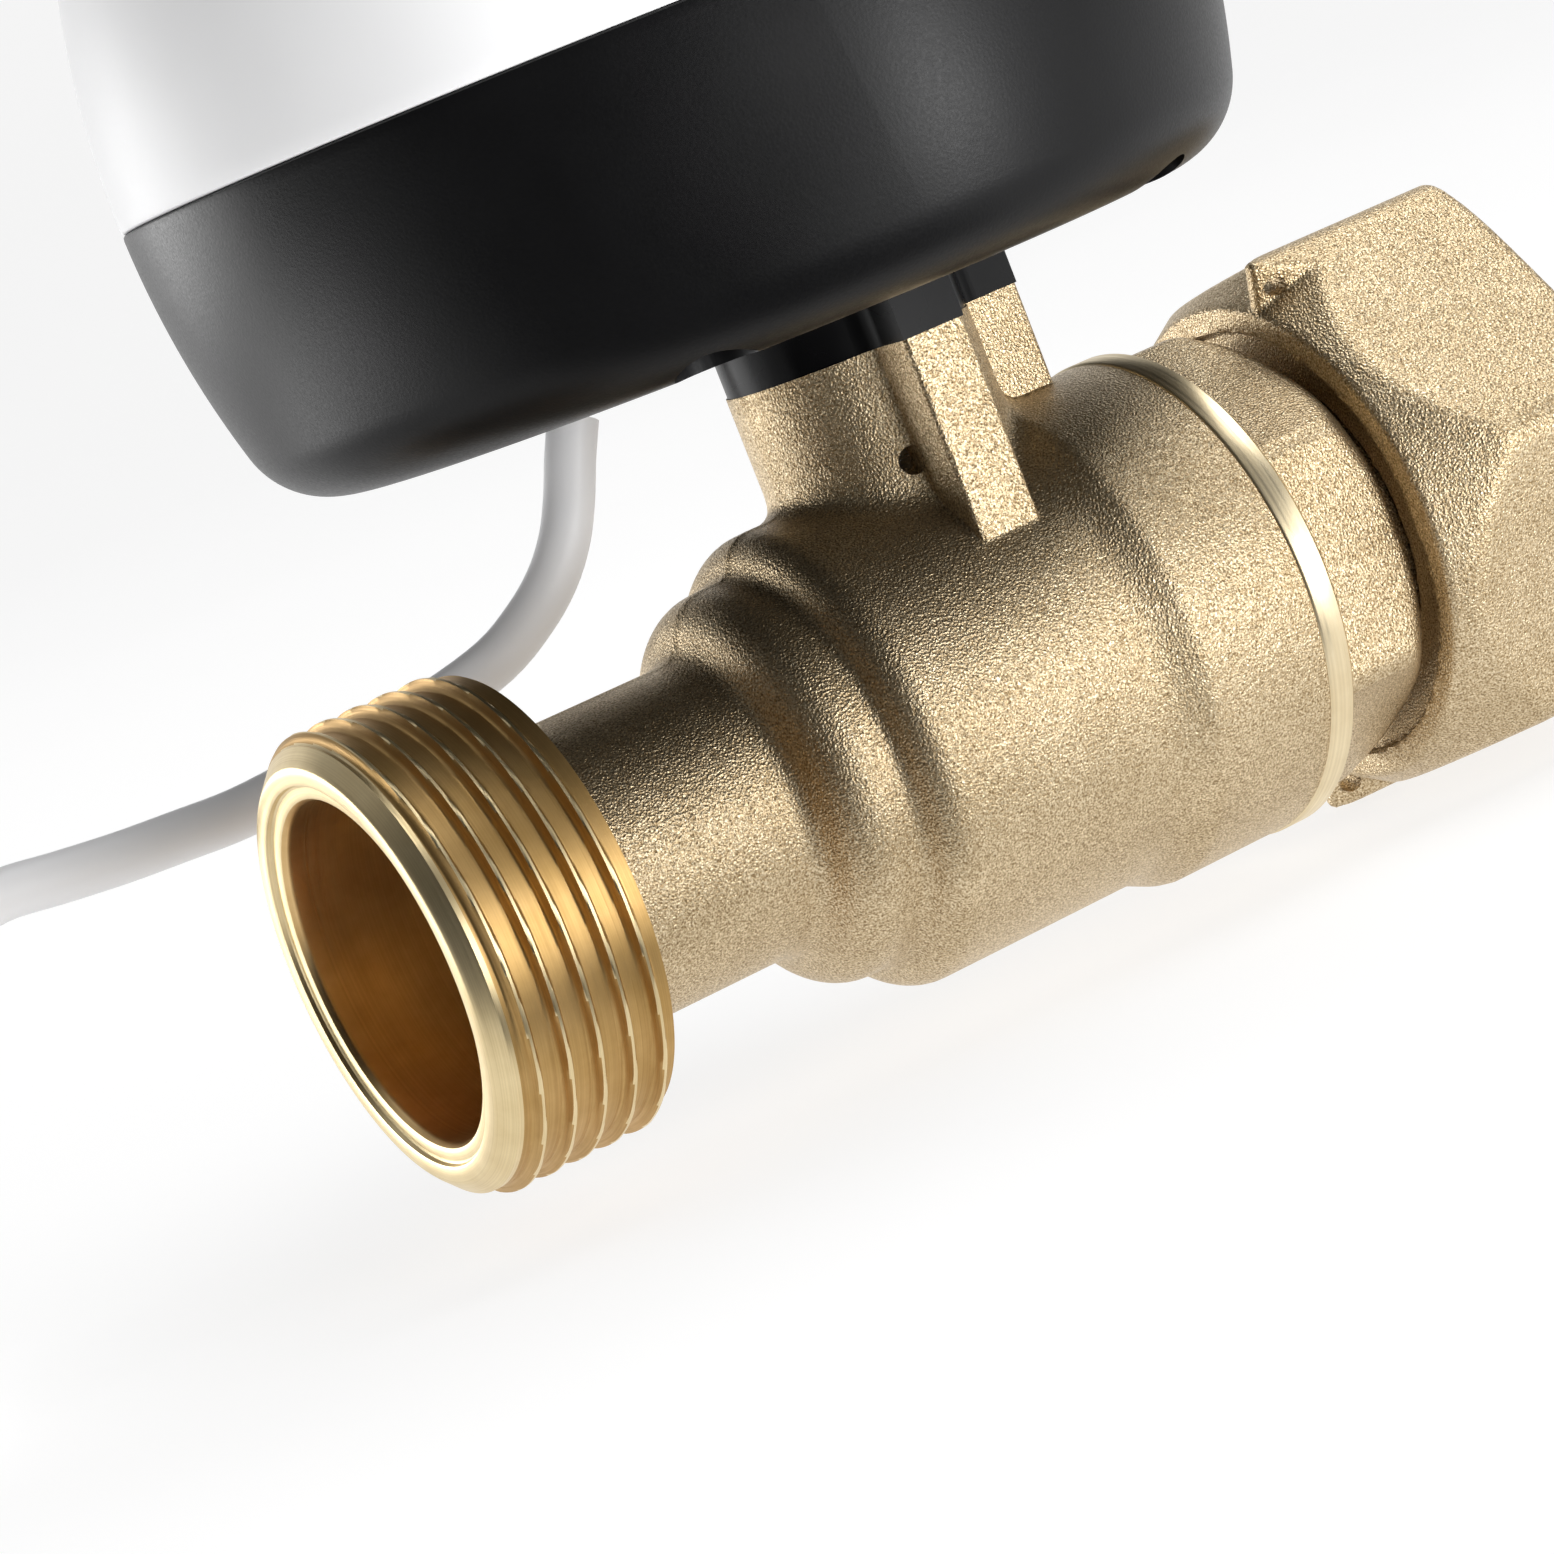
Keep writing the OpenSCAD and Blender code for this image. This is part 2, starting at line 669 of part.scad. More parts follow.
module idler_gear() {
    color(nylon) translate([idler_x, 0, 0]) difference() {
        union() {
            translate([0, 0, idler_z]) rotate(idler_turn) linear_extrude(wheel_z - idler_z + 1) {
                gear_plan(pinion_teeth, slow_module);
            }
            translate([0, 0, wheel_z]) linear_extrude(wheel_t) gear_plan(wheel_teeth, fast_module);
        }
        rod(axle_d + 2 * run_fit, idler_z - 1, plate_z);
    }
}
module gear_axle() { color(steel) translate([idler_x, 0, 0]) rod(axle_d, floor_z + 0.6, plate_top); }
module motor_pinion() {
    color(brass) translate([motor_x, motor_y, 0]) {
        translate([0, 0, wheel_z - 0.3]) rotate(pinion_turn) linear_extrude(wheel_t + 0.6) {
            gear_plan(pinion_teeth, fast_module);
        }
        rod(shaft_d, wheel_z, plate_top + 2.2);
    }
}
module gear_motor() {
    boss_h = 7.4;
    color(steel) translate([motor_x, motor_y, 0]) difference() {
        union() {
            rod(motor_d, plate_top, plate_top + boss_h);
            rod(motor_d - 1.2, plate_top, plate_top + motor_len - 1.5);
            rod(6, plate_top, plate_top + motor_len);
            for (s = [-1, 1]) translate([s * 5 - 0.25, -1, plate_top]) cube([0.5, 2, motor_len + 1.5]);
        }
        rod(shaft_d + 2 * run_fit, plate_top - 1, plate_top + 2.5);
    }
}
module gear_plate() {
    color(black) difference() {
        union() {
            at_housing() rod(plate_d, plate_z, plate_top);
            at_places(pillars) rod(pillar_d, plate_z, board_z);
        }
        at_stem() rod(hub_d + 2 * run_fit, plate_z - 1, plate_top + 1);
        translate([motor_x, motor_y, 0]) rod(6, plate_z - 1, plate_top + 1);
        translate([idler_x, 0, 0]) rod(axle_d + 0.02, plate_z - 1, plate_top + 1);
        at_screws() rod(boss_d + 0.8, plate_z - 1, plate_top + 1);
        at_places(posts) rod(2.2, plate_z - 1, plate_top + 1);
    }
}
module plate_screws() {
    color(steel) at_places(posts) {
        rod(4, plate_top, plate_top + 1.4);
        rod(1.96, plate_z - 8, plate_top + 1);
    }
}
module position_cam() {
    lobe_w = 4;
    color(white) at_stem() translate([0, 0, cam_z]) linear_extrude(cam_t) difference() {
        union() {
            circle(d = cam_d);
            translate([-lobe_w / 2, -cam_reach + lobe_w / 2]) square([lobe_w, cam_reach - lobe_w / 2]);
            translate([0, -cam_reach + lobe_w / 2]) circle(d = lobe_w);
        }
        circle(d = hub_d - 1.96);
    }
}
module limit_switches() {
    plunger = 0.9;
    face = cam_reach + 0.3 + plunger;
    color(seal_black) at_stem() for (a = [270, 0]) rotate(a) {
        translate([face, -switch_size[0] / 2, plate_top]) {
            cube([switch_size[1], switch_size[0], switch_size[2]]);
        }
        translate([face - plunger, 0, cam_z + cam_t / 2]) along_x() rod(1.8, 0, plunger + 0.5);
    }
}
module circuit_board() {
    color(board_green) difference() {
        at_housing() rod(board_d, board_z, board_z + board_t);
        at_screws() rod(boss_d + 0.6, board_z - 1, board_z + board_t + 1);
        translate([motor_x, motor_y, 0]) rod(motor_d + 2, board_z - 1, board_z + board_t + 1);
    }
}
module board_components() {
    top = board_z + board_t;
    color("#8f9297") at_housing() {
        translate([0, -9, top]) cube([16, 14, 2.6]);
        translate([6, 9, top]) cube([12, 9, 8]);
        translate([-24, -10, top]) cube([6, 10, 7]);
        translate([-9, -14, 0]) rod(6.4, top, top + 9);
    }
}

// Cable
function unit(v) = v / norm(v);
function way(p, i) = unit(p[min(i + 1, len(p) - 1)] - p[max(i - 1, 0)]);
function ring(at, dir, up, r, sides) = let (n = unit(up - dir * (up * dir)), b = cross(dir, n))
    [for (k = [0:sides - 1]) at + r * (cos(360 * k / sides) * n + sin(360 * k / sides) * b)];
function swept_faces(rings, sides) = concat(
    [for (i = [0:rings - 2], k = [0:sides - 1]) each
        let (a = i * sides + k, b = i * sides + (k + 1) % sides)
        [[a, a + sides, b + sides], [a, b + sides, b]]],
    [for (k = [1:sides - 2]) [0, k, k + 1]],
    [for (k = [1:sides - 2]) let (e = (rings - 1) * sides) [e, e + k + 1, e + k]]);
module swept(p, dirs, up, sides) {
    points = [for (i = [0:len(p) - 1]) each ring(p[i], dirs[i], up, cable_d / 2, sides)];
    polyhedron(points, swept_faces(len(p), sides), convexity = 8);
}
function ease(t) = let (u = max(0, min(1, t))) u * u * (3 - 2 * u);
function coil_point(u) = let (r = coil_r - coil_step * min(u, coil_turns - u), a = 270 - 360 * u)
    [coil_xy[0] + r * cos(a), coil_xy[1] + r * sin(a),
        lead_end[2] + coil_lift * ease((u - coil_turns / 2) * 2 + 0.5)];
coil_rings = coil_turns * rings_per_turn;
coil_out = way([coil_point(coil_turns - 0.01), coil_point(coil_turns)], 0);
coil_route = concat(
    [coil_point(0) + [cable_d, 0, 0]],
    [for (i = [0:coil_rings]) coil_point(i / rings_per_turn)],
    [for (d = [coil_tail / 2, coil_tail]) coil_point(coil_turns) + d * coil_out]);
coil_gap = min([for (i = [0:coil_rings], j = [0:coil_rings]) if (j - i > rings_per_turn / 2)
    norm(coil_point(i / rings_per_turn) - coil_point(j / rings_per_turn))]) - cable_d;
module cable_grommet() {
    color(black) translate(grommet_xy) {
        translate([0, 0, grommet_low]) {
            cylinder(d1 = grommet_d - 3, d2 = grommet_d, h = collar_top - grommet_low);
        }
        rod(grommet_neck_d, collar_top - 0.5, floor_z + 1);
        rod(grommet_d, floor_z, floor_z + 1.5);
    }
}
module cable_lead() {
    last = len(lead_route) - 1;
    dirs = [for (i = [0:last]) i == 0 ? [0, 0, -1] : i == last ? [-1, 0, 0] : way(lead_route, i)];
    color(white) swept(lead_route, dirs, [0, 1, 0], 8);
}
module cable_coil() {
    last = len(coil_route) - 1;
    dirs = [for (i = [0:last]) i < 2 ? [-1, 0, 0] : i > last - 2 ? coil_out : way(coil_route, i)];
    echo(coil_gap = coil_gap);
    color(white) swept(coil_route, dirs, [0, 0, 1], 6);
}
module coil_tie() {
    inner_r = coil_r - coil_step * coil_turns / 2 - cable_d / 2 - tie_gap;
    depth = coil_step * coil_turns / 2 + cable_d + 2 * tie_gap;
    height = coil_lift + cable_d + 2 * tie_gap;
    low = lead_end[2] - cable_d / 2 - tie_gap;
    color(black) translate([coil_xy[0], coil_xy[1], low]) rotate(tie_turn) difference() {
        translate([inner_r - tie_t, -tie_w / 2, -tie_t + tie_gap]) {
            cube([depth + 2 * tie_t, tie_w, height + 2 * tie_t - tie_gap]);
        }
        translate([inner_r, -tie_w, tie_gap]) cube([depth, 2 * tie_w, height - tie_gap]);
    }
}
module cable_connector() {
    at = coil_route[len(coil_route) - 1];
    turn = atan2(coil_out[1], coil_out[0]);
    ribs = 4;
    color(black) translate(at) rotate(turn) along_x() difference() {
        union() {
            cylinder(d1 = cable_d + 2.4, d2 = connector_d - 2, h = 7);
            rod(connector_d - 1.4, 6.9, connector_len);
            for (k = [0:ribs - 1]) rod(connector_d, 8 + 2.2 * k, 9.2 + 2.2 * k);
        }
        tube(connector_d - 3, 3.4, connector_len - 5, connector_len + 1);
    }
}

valve_body();
tail_piece();
tail_oring();
union_nut();
nut_snap_ring();
union_gasket();
ball();
seat_outlet();
seat_inlet();
valve_stem();
stem_orings();
thrust_washer();
shaft_seal();
neck_collar();
clamp_nut();
base_housing();
upper_shell();
shell_gasket();
housing_screws();
drive_coupling();
output_gear();
idler_gear();
gear_axle();
motor_pinion();
gear_motor();
gear_plate();
plate_screws();
position_cam();
limit_switches();
circuit_board();
board_components();
cable_grommet();
cable_lead();
cable_coil();
coil_tie();
cable_connector();
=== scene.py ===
import json
import math

import bmesh
import bpy
import numpy as np
from mathutils import Matrix, Vector


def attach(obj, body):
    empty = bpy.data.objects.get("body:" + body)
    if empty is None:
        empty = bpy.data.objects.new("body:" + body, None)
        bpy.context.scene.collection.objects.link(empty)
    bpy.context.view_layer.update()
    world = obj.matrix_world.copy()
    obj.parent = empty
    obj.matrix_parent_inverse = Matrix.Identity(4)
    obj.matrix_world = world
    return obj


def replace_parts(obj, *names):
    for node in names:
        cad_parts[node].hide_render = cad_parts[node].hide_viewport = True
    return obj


MM = 0.001
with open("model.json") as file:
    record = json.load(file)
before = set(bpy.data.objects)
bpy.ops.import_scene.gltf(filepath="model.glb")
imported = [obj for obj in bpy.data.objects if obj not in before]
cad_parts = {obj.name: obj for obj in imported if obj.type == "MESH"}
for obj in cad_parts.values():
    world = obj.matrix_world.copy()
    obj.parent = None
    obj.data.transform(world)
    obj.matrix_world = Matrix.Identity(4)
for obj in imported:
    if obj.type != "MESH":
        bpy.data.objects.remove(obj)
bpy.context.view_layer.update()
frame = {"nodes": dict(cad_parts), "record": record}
nodes = frame["nodes"]

# Brass body, in millimetres: X runs along the pipe from its mouth and Z up the stem
STEM_X = 49.35
BORE_R = 8.0
MOUTH_R = 12.2
MOUTH_END = 10.0
THREAD_R = 16.625
THREAD_PITCH = 2.309
THREAD_DEPTH = 0.72
THREAD_BACK = 13.0
SLEEVE_END = 14.6
CAST_X = 13.05
TUBE_R = 10.7
SHOULDER_X = 28.8
SHOULDER_R = 14.3
SHOULDER_ROUND = 3.5
CHAMBER_X = 34.5
CHAMBER_R = 16.7
CHAMBER_ROUND = 2.6
RAMP_X = 53.9
RAMP_RISE = 0.45
RING_R = 17.95
BAND_X = 66.0
BAND_R = 18.1
BODY_END = 68.2
SOCKET_R = 15.0
SEAT_R = 12.6
# Radius, start and end of each bore, along the pipe or up the stem
WATERWAY = (
    (MOUTH_R, -5, MOUTH_END), (BORE_R, 5, 45), (SEAT_R, 36.7, 45), (14.0, 40.2, 58), (SOCKET_R, 57.2, 80))
STEM_BORES = ((4.55, 0, 40), (6.3, 0, 14))
PART_LINE = 0.16
PART_LINE_W = 0.3
PART_LINE_X = STEM_X - 4
PART_LINE_Z = 9
PART_LINE_FADE = 2

# Neck
NECK_R = 8.8
NECK_FOOT = 2.0
NECK_TOP = 25.3
RIB_W = 4.9
RIB_REACH = 12.8
RIB_REACH_NUT = 13.2
RIB_START = NECK_R - 0.9
RIB_FOOT = 4.0
RIB_HIDDEN = 0.2
RIB_EDGE = 0.3
# Turn about the stem and reach of each rib
RIBS = ((-90, RIB_REACH), (90, RIB_REACH), (0, RIB_REACH_NUT))
SPIGOT_R = 7.6
SPIGOT_TOP = 35.0
SPIGOT_RIDGES = 8
WEEP_R = 1.0
WEEP_Z = 17.4
WEEP_TURN = 252

# Tail piece and union nut
HEX_APOTHEM = 15.1
HEX_CORNER_R = 17.1
HEX_CORNER = 0.9
HEX_BEVEL = 1.9
HEX_BEVEL_RISE = -0.95
HEX_END = 76.6
TAIL_X = 57.4
TAIL_END = 82.9
TAIL_SPIGOT_R = 14.97
TAIL_TUBE_R = 12.6
TAIL_BORES = ((BORE_R, 50, 90), (SEAT_R, 50, 62))
# Floor radius, middle and half width of each groove round the tail piece
TAIL_GROOVES = ((13.42, 65.8, 0.85), (11.95, 81.3, 0.75))
NUT_X = 77.1
NUT_END = 95.4
NUT_AF = 38.3
NUT_TURN = 9.3
NUT_CORNER = 2.4
NUT_TIP_R = 21.65
NUT_BEVEL = 0.8
NUT_BEVEL_RISE = -2
NUT_CONE_RISE = 0.577
RIM_R = 18.05
NUT_THREAD_X = 85.2
NUT_THREAD_R = 15.146
NUT_THREAD_DEPTH = 1.15
NUT_BORES = ((16.2, 70, 78.3), (12.9, 70, 82), (15.65, 80.3, 90), (16.75, NUT_THREAD_X, 100))
EAR_TURNS = (30, 210)
EAR_X = NUT_X + 0.3
EAR_HALF = 0.5
EAR_FLARE = 0.42
EAR_FLOOR = 16.9
EAR_HOLE_R = 0.7

# Housing
HOUSING_X = 44.1
COLLAR_TOP = 29.1
SEAM_Z = 50.7
SHELL_TOP = 79.0
SEAM_R = 38.05
BARREL_R = 65.0
BARREL_C = SEAM_R - BARREL_R
WALL = 2.4
FLOOR_ROUND = 6.3
TOP_ROUND = 9.0
LIP_LOW = 49.0
LIP_R = 35.4
LIP_WALL = 1.2
# Inset and rise of the points that round each edge of the seam
SEAM_EDGE = ((0.34, 0.02), (0.16, 0.05), (0.04, 0.16))
SEAM_EDGE_H = 0.35
SCREW_RING_R = 30.5
SCREW_TURNS = (236, 304, 56, 124)
SCREW_HEAD_R = 2.6
SCREW_LOW = 33.5
HEAD_TOP = 35.7
SCREW_TIP = 53.5
RECESS_R = 2.8
BOSS_TOP = 46.0
POST_TOP = 71.6
INNER_FLOOR = 31.45
PLATE_POSTS = ((-8, -25), (-8, 25), (28.5, 0))
AXLE_X = 25.35

# Cable and its tie
CABLE_R = 1.85
GROMMET_R = 3.65
LEAD_ROUTE = [
    (35.6, 16, 27.6), (35, 16, 26.5), (34.2, 16, 25), (33, 16, 22.5), (31.5, 16, 20), (29.7, 16.6, 17.7),
    (27.4, 17.6, 15.7), (24.4, 19, 13.9), (20, 21, 12.6), (14.9, 23, 11.7), (10.1, 24.4, 11.2),
    (4.8, 25.4, 10.8), (0.3, 25.8, 11), (-4.4, 26, 11.3), (-9, 26, 11.8), (-13.5, 26, 12.3),
    (-17.7, 25.2, 11.6), (-21.5, 24, 9.8), (-24.6, 22.6, 6.8), (-26.7, 21.2, 3.1),
    (-28.8, 19.9, -2.7), (-30.9, 17.9, -8.5), (-33, 15.4, -12.2), (-36, 13.5, -15.2),
    (-39.9, 12.9, -17), (-44.8, 13.2, -17.7)]
LEAD_STEPS = 4
COIL_TURNS = 5.25
COIL_START = 270
COIL_R = 24.2
COIL_STEP = 4.25
COIL_STEPS = 48
COIL_CENTRE = (LEAD_ROUTE[-1][0] - 2 * CABLE_R, LEAD_ROUTE[-1][1] + COIL_R)
COIL_TAIL = 6
CABLE_LOW = LEAD_ROUTE[-1][2]
CABLE_SIDES = 20
TIE_TURN = 60
TIE_W = 4.0
TIE_T = 0.8
TIE_GAP = 0.08
TIE_EDGE = 0.2
TIE_STEPS = 96
# Size, shift outwards, lift above the strap and rounding of the lock and of the cut end
TIE_LOCK = ((4.4, 5.2, 2.4), 0.0, 0.3, 0.5)
TIE_END = ((9.0, 3.4, 0.7), 3.2, 0.45, 0.25)

# View and studio: the camera in millimetres and degrees, the backdrop in metres, the card in millimetres
VIEW_AZIMUTH = -25.40
VIEW_ELEVATION = 7.55
VIEW_ROLL = -21.68
VIEW_LENS = 110.31
VIEW_DISTANCE = 323.98
VIEW_AIM = (32.47, 0, 0.62)
FLOOR_Z = -20.54
FLOOR_START = -3.6
FLOOR_END = 1.2
FLOOR_HALF = 3.0
SWEEP_R = 0.6
WALL_TOP = 1.6
CARD_ENDS = ((-95, -25), (60, -98))
CARD_FOOT = ((75, -42), (20, -28))
CARD_LOW = FLOOR_Z + 0.3
CARD_TOP = 110
PAPER_GLOW = 0.78
WORLD_LIGHT = 0.10
WORLD_SEEN = 0.86
# Name, place and aim in metres, size in metres, watts, and whether reflections show the lamp
LAMPS = (
    ("low_front_soft", (0.080, -0.239, -0.001), (0.073, -0.202, 0.184), (0.14, 0.19), 1.1, True),
    ("key_soft", (0.62, -0.85, 0.10), (0.05, 0, 0.0), (0.50, 0.50), 2.1, True),
    ("over_soft", (0.48, -0.20, 0.95), (0.06, 0, 0.0), (0.70, 0.70), 7.0, True),
    ("left_top_soft", (-0.35, 0.25, 0.85), (0.0, 0, 0.0), (0.70, 0.70), 0.6, True),
    ("front_fill", (0.35, -1.0, 0.35), (0.04, 0, 0.05), (0.60, 0.60), 3.3, False),
    ("left_back_strip", (-0.55, 0.85, 0.05), (0.03, 0, 0.02), (0.70, 0.40), 5.0, True),
    ("left_floor_soft", (-0.170, 0.130, -0.012), (-0.165, 0.127, 0.2), (0.15, 0.20), 0.38, True))


# Objects and meshes
def placed(name, data):
    """A new object in the scene."""
    thing = bpy.data.objects.new(name, data)
    bpy.context.scene.collection.objects.link(thing)
    return thing


def new_piece(name, mesh, material, body="valve", smooth_angle=40):
    """A visible piece of the valve that rides a body."""
    piece = placed(name, mesh)
    mesh.materials.clear()
    mesh.materials.append(material)
    mesh.polygons.foreach_set("use_smooth", [True] * len(mesh.polygons))
    mesh.set_sharp_from_angle(angle=math.radians(smooth_angle))
    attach(piece, body)
    return piece


def mesh_from(name, points_mm, faces):
    mesh = bpy.data.meshes.new(name)
    mesh.from_pydata([tuple(p) for p in np.asarray(points_mm, float) * MM], [], faces)
    mesh.update()
    return mesh


def mesh_of(bm, name):
    """The finished mesh of one that was being built."""
    mesh = bpy.data.meshes.new(name)
    bm.to_mesh(mesh)
    bm.free()
    return mesh


def joined(name, meshes):
    bm = bmesh.new()
    for mesh in meshes:
        bm.from_mesh(mesh)
    return mesh_of(bm, name)


def face_outwards(mesh):
    bm = bmesh.new()
    bm.from_mesh(mesh)
    bmesh.ops.recalc_face_normals(bm, faces=bm.faces)
    if bm.calc_volume(signed=True) < 0:
        bmesh.ops.reverse_faces(bm, faces=bm.faces)
    bm.to_mesh(mesh)
    bm.free()


def add_block(bm, size, middle):
    """Adds a box to a mesh being built and gives its corners."""
    corners = bmesh.ops.create_cube(bm, size=1)["verts"]
    bmesh.ops.scale(bm, vec=Vector(size) * MM, verts=corners)
    bmesh.ops.translate(bm, vec=Vector(middle) * MM, verts=corners)
    return corners


def edges_at(corners):
    return list(dict.fromkeys(edge for corner in corners for edge in corner.link_edges))


def ring_faces(rings, sides, closed):
    """Faces of a skin over equal rings of points, whose last ring may meet the first."""
    faces = []
    for i in range(rings if closed else rings - 1):
        here, there = i * sides, (i + 1) % rings * sides
        for k in range(sides):
            m = (k + 1) % sides
            faces.append((here + k, here + m, there + m, there + k))
    return faces


def turned(name, outline, segments, axis="Z", centre=(0, 0, 0)):
    """Solid turned about X or Z from a closed (radius, height) outline, shut where it meets the axis."""
    points, faces, rows = [], [], []
    for r, h in outline:
        count = segments if r > 0 else 1
        rows.append((len(points), count))
        for k in range(count):
            a = 2 * math.pi * k / segments
            ring = (r * math.cos(a), r * math.sin(a))
            points.append((h, *ring) if axis == "X" else (*ring, h))
    for (s0, n0), (s1, n1) in zip(rows, rows[1:] + rows[:1]):
        if n0 == 1 and n1 == 1:
            continue
        for k in range(segments):
            m = (k + 1) % segments
            if n0 == 1:
                faces.append((s0, s1 + m, s1 + k))
            elif n1 == 1:
                faces.append((s0 + k, s0 + m, s1))
            else:
                faces.append((s0 + k, s0 + m, s1 + m, s1 + k))
    mesh = mesh_from(name, np.array(points) + centre, faces)
    face_outwards(mesh)
    return mesh


def rod(name, radius, start, end, segments, axis="Z", centre=(0, 0, 0)):
    return turned(name, [(0, start), (radius, start), (radius, end), (0, end)], segments, axis, centre)


def arc(centre, radius, start, end, count):
    """Points of a circular arc in (radius, height), angles in degrees from the radius axis."""
    turns = [math.radians(start + (end - start) * k / count) for k in range(count + 1)]
    return [(centre[0] + radius * math.cos(a), centre[1] + radius * math.sin(a)) for a in turns]


def finer(outline, step):
    """The same open outline with points no further apart than step."""
    out = [outline[0]]
    for (r0, h0), (r1, h1) in zip(outline, outline[1:]):
        count = max(1, math.ceil(math.dist((r0, h0), (r1, h1)) / step))
        for k in range(1, count + 1):
            out.append((r0 + (r1 - r0) * k / count, h0 + (h1 - h0) * k / count))
    return out


def evaluated_mesh(thing, name):
    """The mesh that an object's modifiers give; the object goes away."""
    graph = bpy.context.evaluated_depsgraph_get()
    mesh = bpy.data.meshes.new_from_object(thing.evaluated_get(graph), depsgraph=graph)
    mesh.name = name
    bpy.data.objects.remove(thing)
    return mesh


def remeshed(name, mesh, voxel):
    """A copy of a closed mesh with even quads of about the voxel's size, in millimetres."""
    bm = bmesh.new()
    bm.from_mesh(mesh)
    bmesh.ops.remove_doubles(bm, verts=bm.verts, dist=MM * MM)
    holder = placed(name, mesh_of(bm, name))
    remesh = holder.modifiers.new("even quads", "REMESH")
    remesh.mode = "VOXEL"
    remesh.voxel_size = voxel * MM
    return evaluated_mesh(holder, name)


def cut_away(mesh, cutters):
    """The mesh with the cutters' solids taken out of it."""
    holder = placed("blank", mesh)
    tools = [placed("cutter", cutter) for cutter in cutters]
    for tool in tools:
        cut = holder.modifiers.new("cut", "BOOLEAN")
        cut.operation = "DIFFERENCE"
        cut.solver = "MANIFOLD"
        cut.object = tool
    done = evaluated_mesh(holder, mesh.name)
    for tool in tools:
        bpy.data.objects.remove(tool)
    return done


def trimmed(mesh, planes):
    """The part of a hollow mesh behind the planes (axis, place, side), each cut closed by a ring."""
    bm = bmesh.new()
    bm.from_mesh(mesh)
    for axis, place, side in planes:
        at, way = Vector(), Vector()
        at[axis], way[axis] = place * MM, side
        everything = bm.verts[:] + bm.edges[:] + bm.faces[:]
        cut = bmesh.ops.bisect_plane(bm, geom=everything, plane_co=at, plane_no=way, clear_outer=True)
        edges = [e for e in cut["geom_cut"] if isinstance(e, bmesh.types.BMEdge) and e.is_boundary]
        bmesh.ops.bridge_loops(bm, edges=edges)
    bmesh.ops.recalc_face_normals(bm, faces=bm.faces)
    bm.to_mesh(mesh)
    bm.free()
    return mesh


def drawn_onto(mesh, field, planes=()):
    """Moves a mesh's points to where the field is zero; points on the planes slide in their plane."""
    rounds, nudge, on_plane, longest, least_slope = 8, 0.04, 0.02, 0.4, 0.2
    flat = np.zeros(len(mesh.vertices) * 3)
    mesh.vertices.foreach_get("co", flat)
    p = flat.reshape(-1, 3) / MM
    held = [(axis, np.abs(p[:, axis] - place) < on_plane) for axis, place, _ in planes]
    ways = np.eye(3) * nudge
    for _ in range(rounds):
        slope = np.column_stack([(field(p + way) - field(p - way)) / (2 * nudge) for way in ways])
        for axis, points in held:
            slope[points, axis] = 0
        steep = np.maximum((slope ** 2).sum(1), least_slope)
        p -= slope * np.clip(field(p) / steep, -longest, longest)[:, None]
    mesh.vertices.foreach_set("co", (p * MM).ravel())
    mesh.update()
    return mesh


# Rounded shapes as distance fields
def smooth_join(a, b, blend):
    """Distance to two shapes together, with their inner corner filled."""
    h = np.clip(0.5 + 0.5 * (b - a) / blend, 0, 1)
    return b + (a - b) * h - blend * h * (1 - h)


def smooth_meet(a, b, blend):
    """Distance to what two shapes share, with its outer corner rounded."""
    return -smooth_join(-a, -b, blend)


def corner(u, v, e):
    """Distance to a corner whose sides are e outside the lines where u and v are zero, rounded by e."""
    return np.hypot(np.maximum(u, 0), np.maximum(v, 0)) + np.minimum(np.maximum(u, v), 0) - e


def rounded_end(x, r, start, radius, e):
    return corner(start + e - x, r - radius + e, e)


def rounded_box_plan(u, v, half_u, half_v, e):
    return corner(np.abs(u) - half_u + e, np.abs(v) - half_v + e, e)


def sloped(r, x, radius, rise):
    """Distance to a cone that has the given radius where x is zero and grows by rise."""
    return (r - radius - x * rise) / math.hypot(1, rise)


def between(x, start, end):
    return np.maximum(start - x, x - end)


def bores(x, r, sizes):
    """Distance to the nearest of several bores, each given by radius, start and end."""
    return np.min([np.maximum(r - radius, between(x, start, end)) for radius, start, end in sizes], axis=0)


def hexagon_plan(u, v, apothem, e):
    """Distance to a hexagon with a corner on +U and corners rounded by e."""
    cos30, sin30 = math.cos(math.pi / 6), math.sin(math.pi / 6)
    flat = apothem - e
    tip = flat / cos30
    u, v = np.abs(u), np.abs(v)
    to_side = u * cos30 + v * sin30
    along_side = v * cos30 - u * sin30
    inside = np.maximum(v, to_side) - flat
    to_corner = np.minimum(np.hypot(u - tip, v), np.hypot(u - tip / 2, v - flat))
    beside_flat = np.where(v >= to_side, u <= tip / 2, np.abs(along_side) <= tip / 2)
    return np.where((inside > 0) & ~beside_flat, to_corner, inside) - e


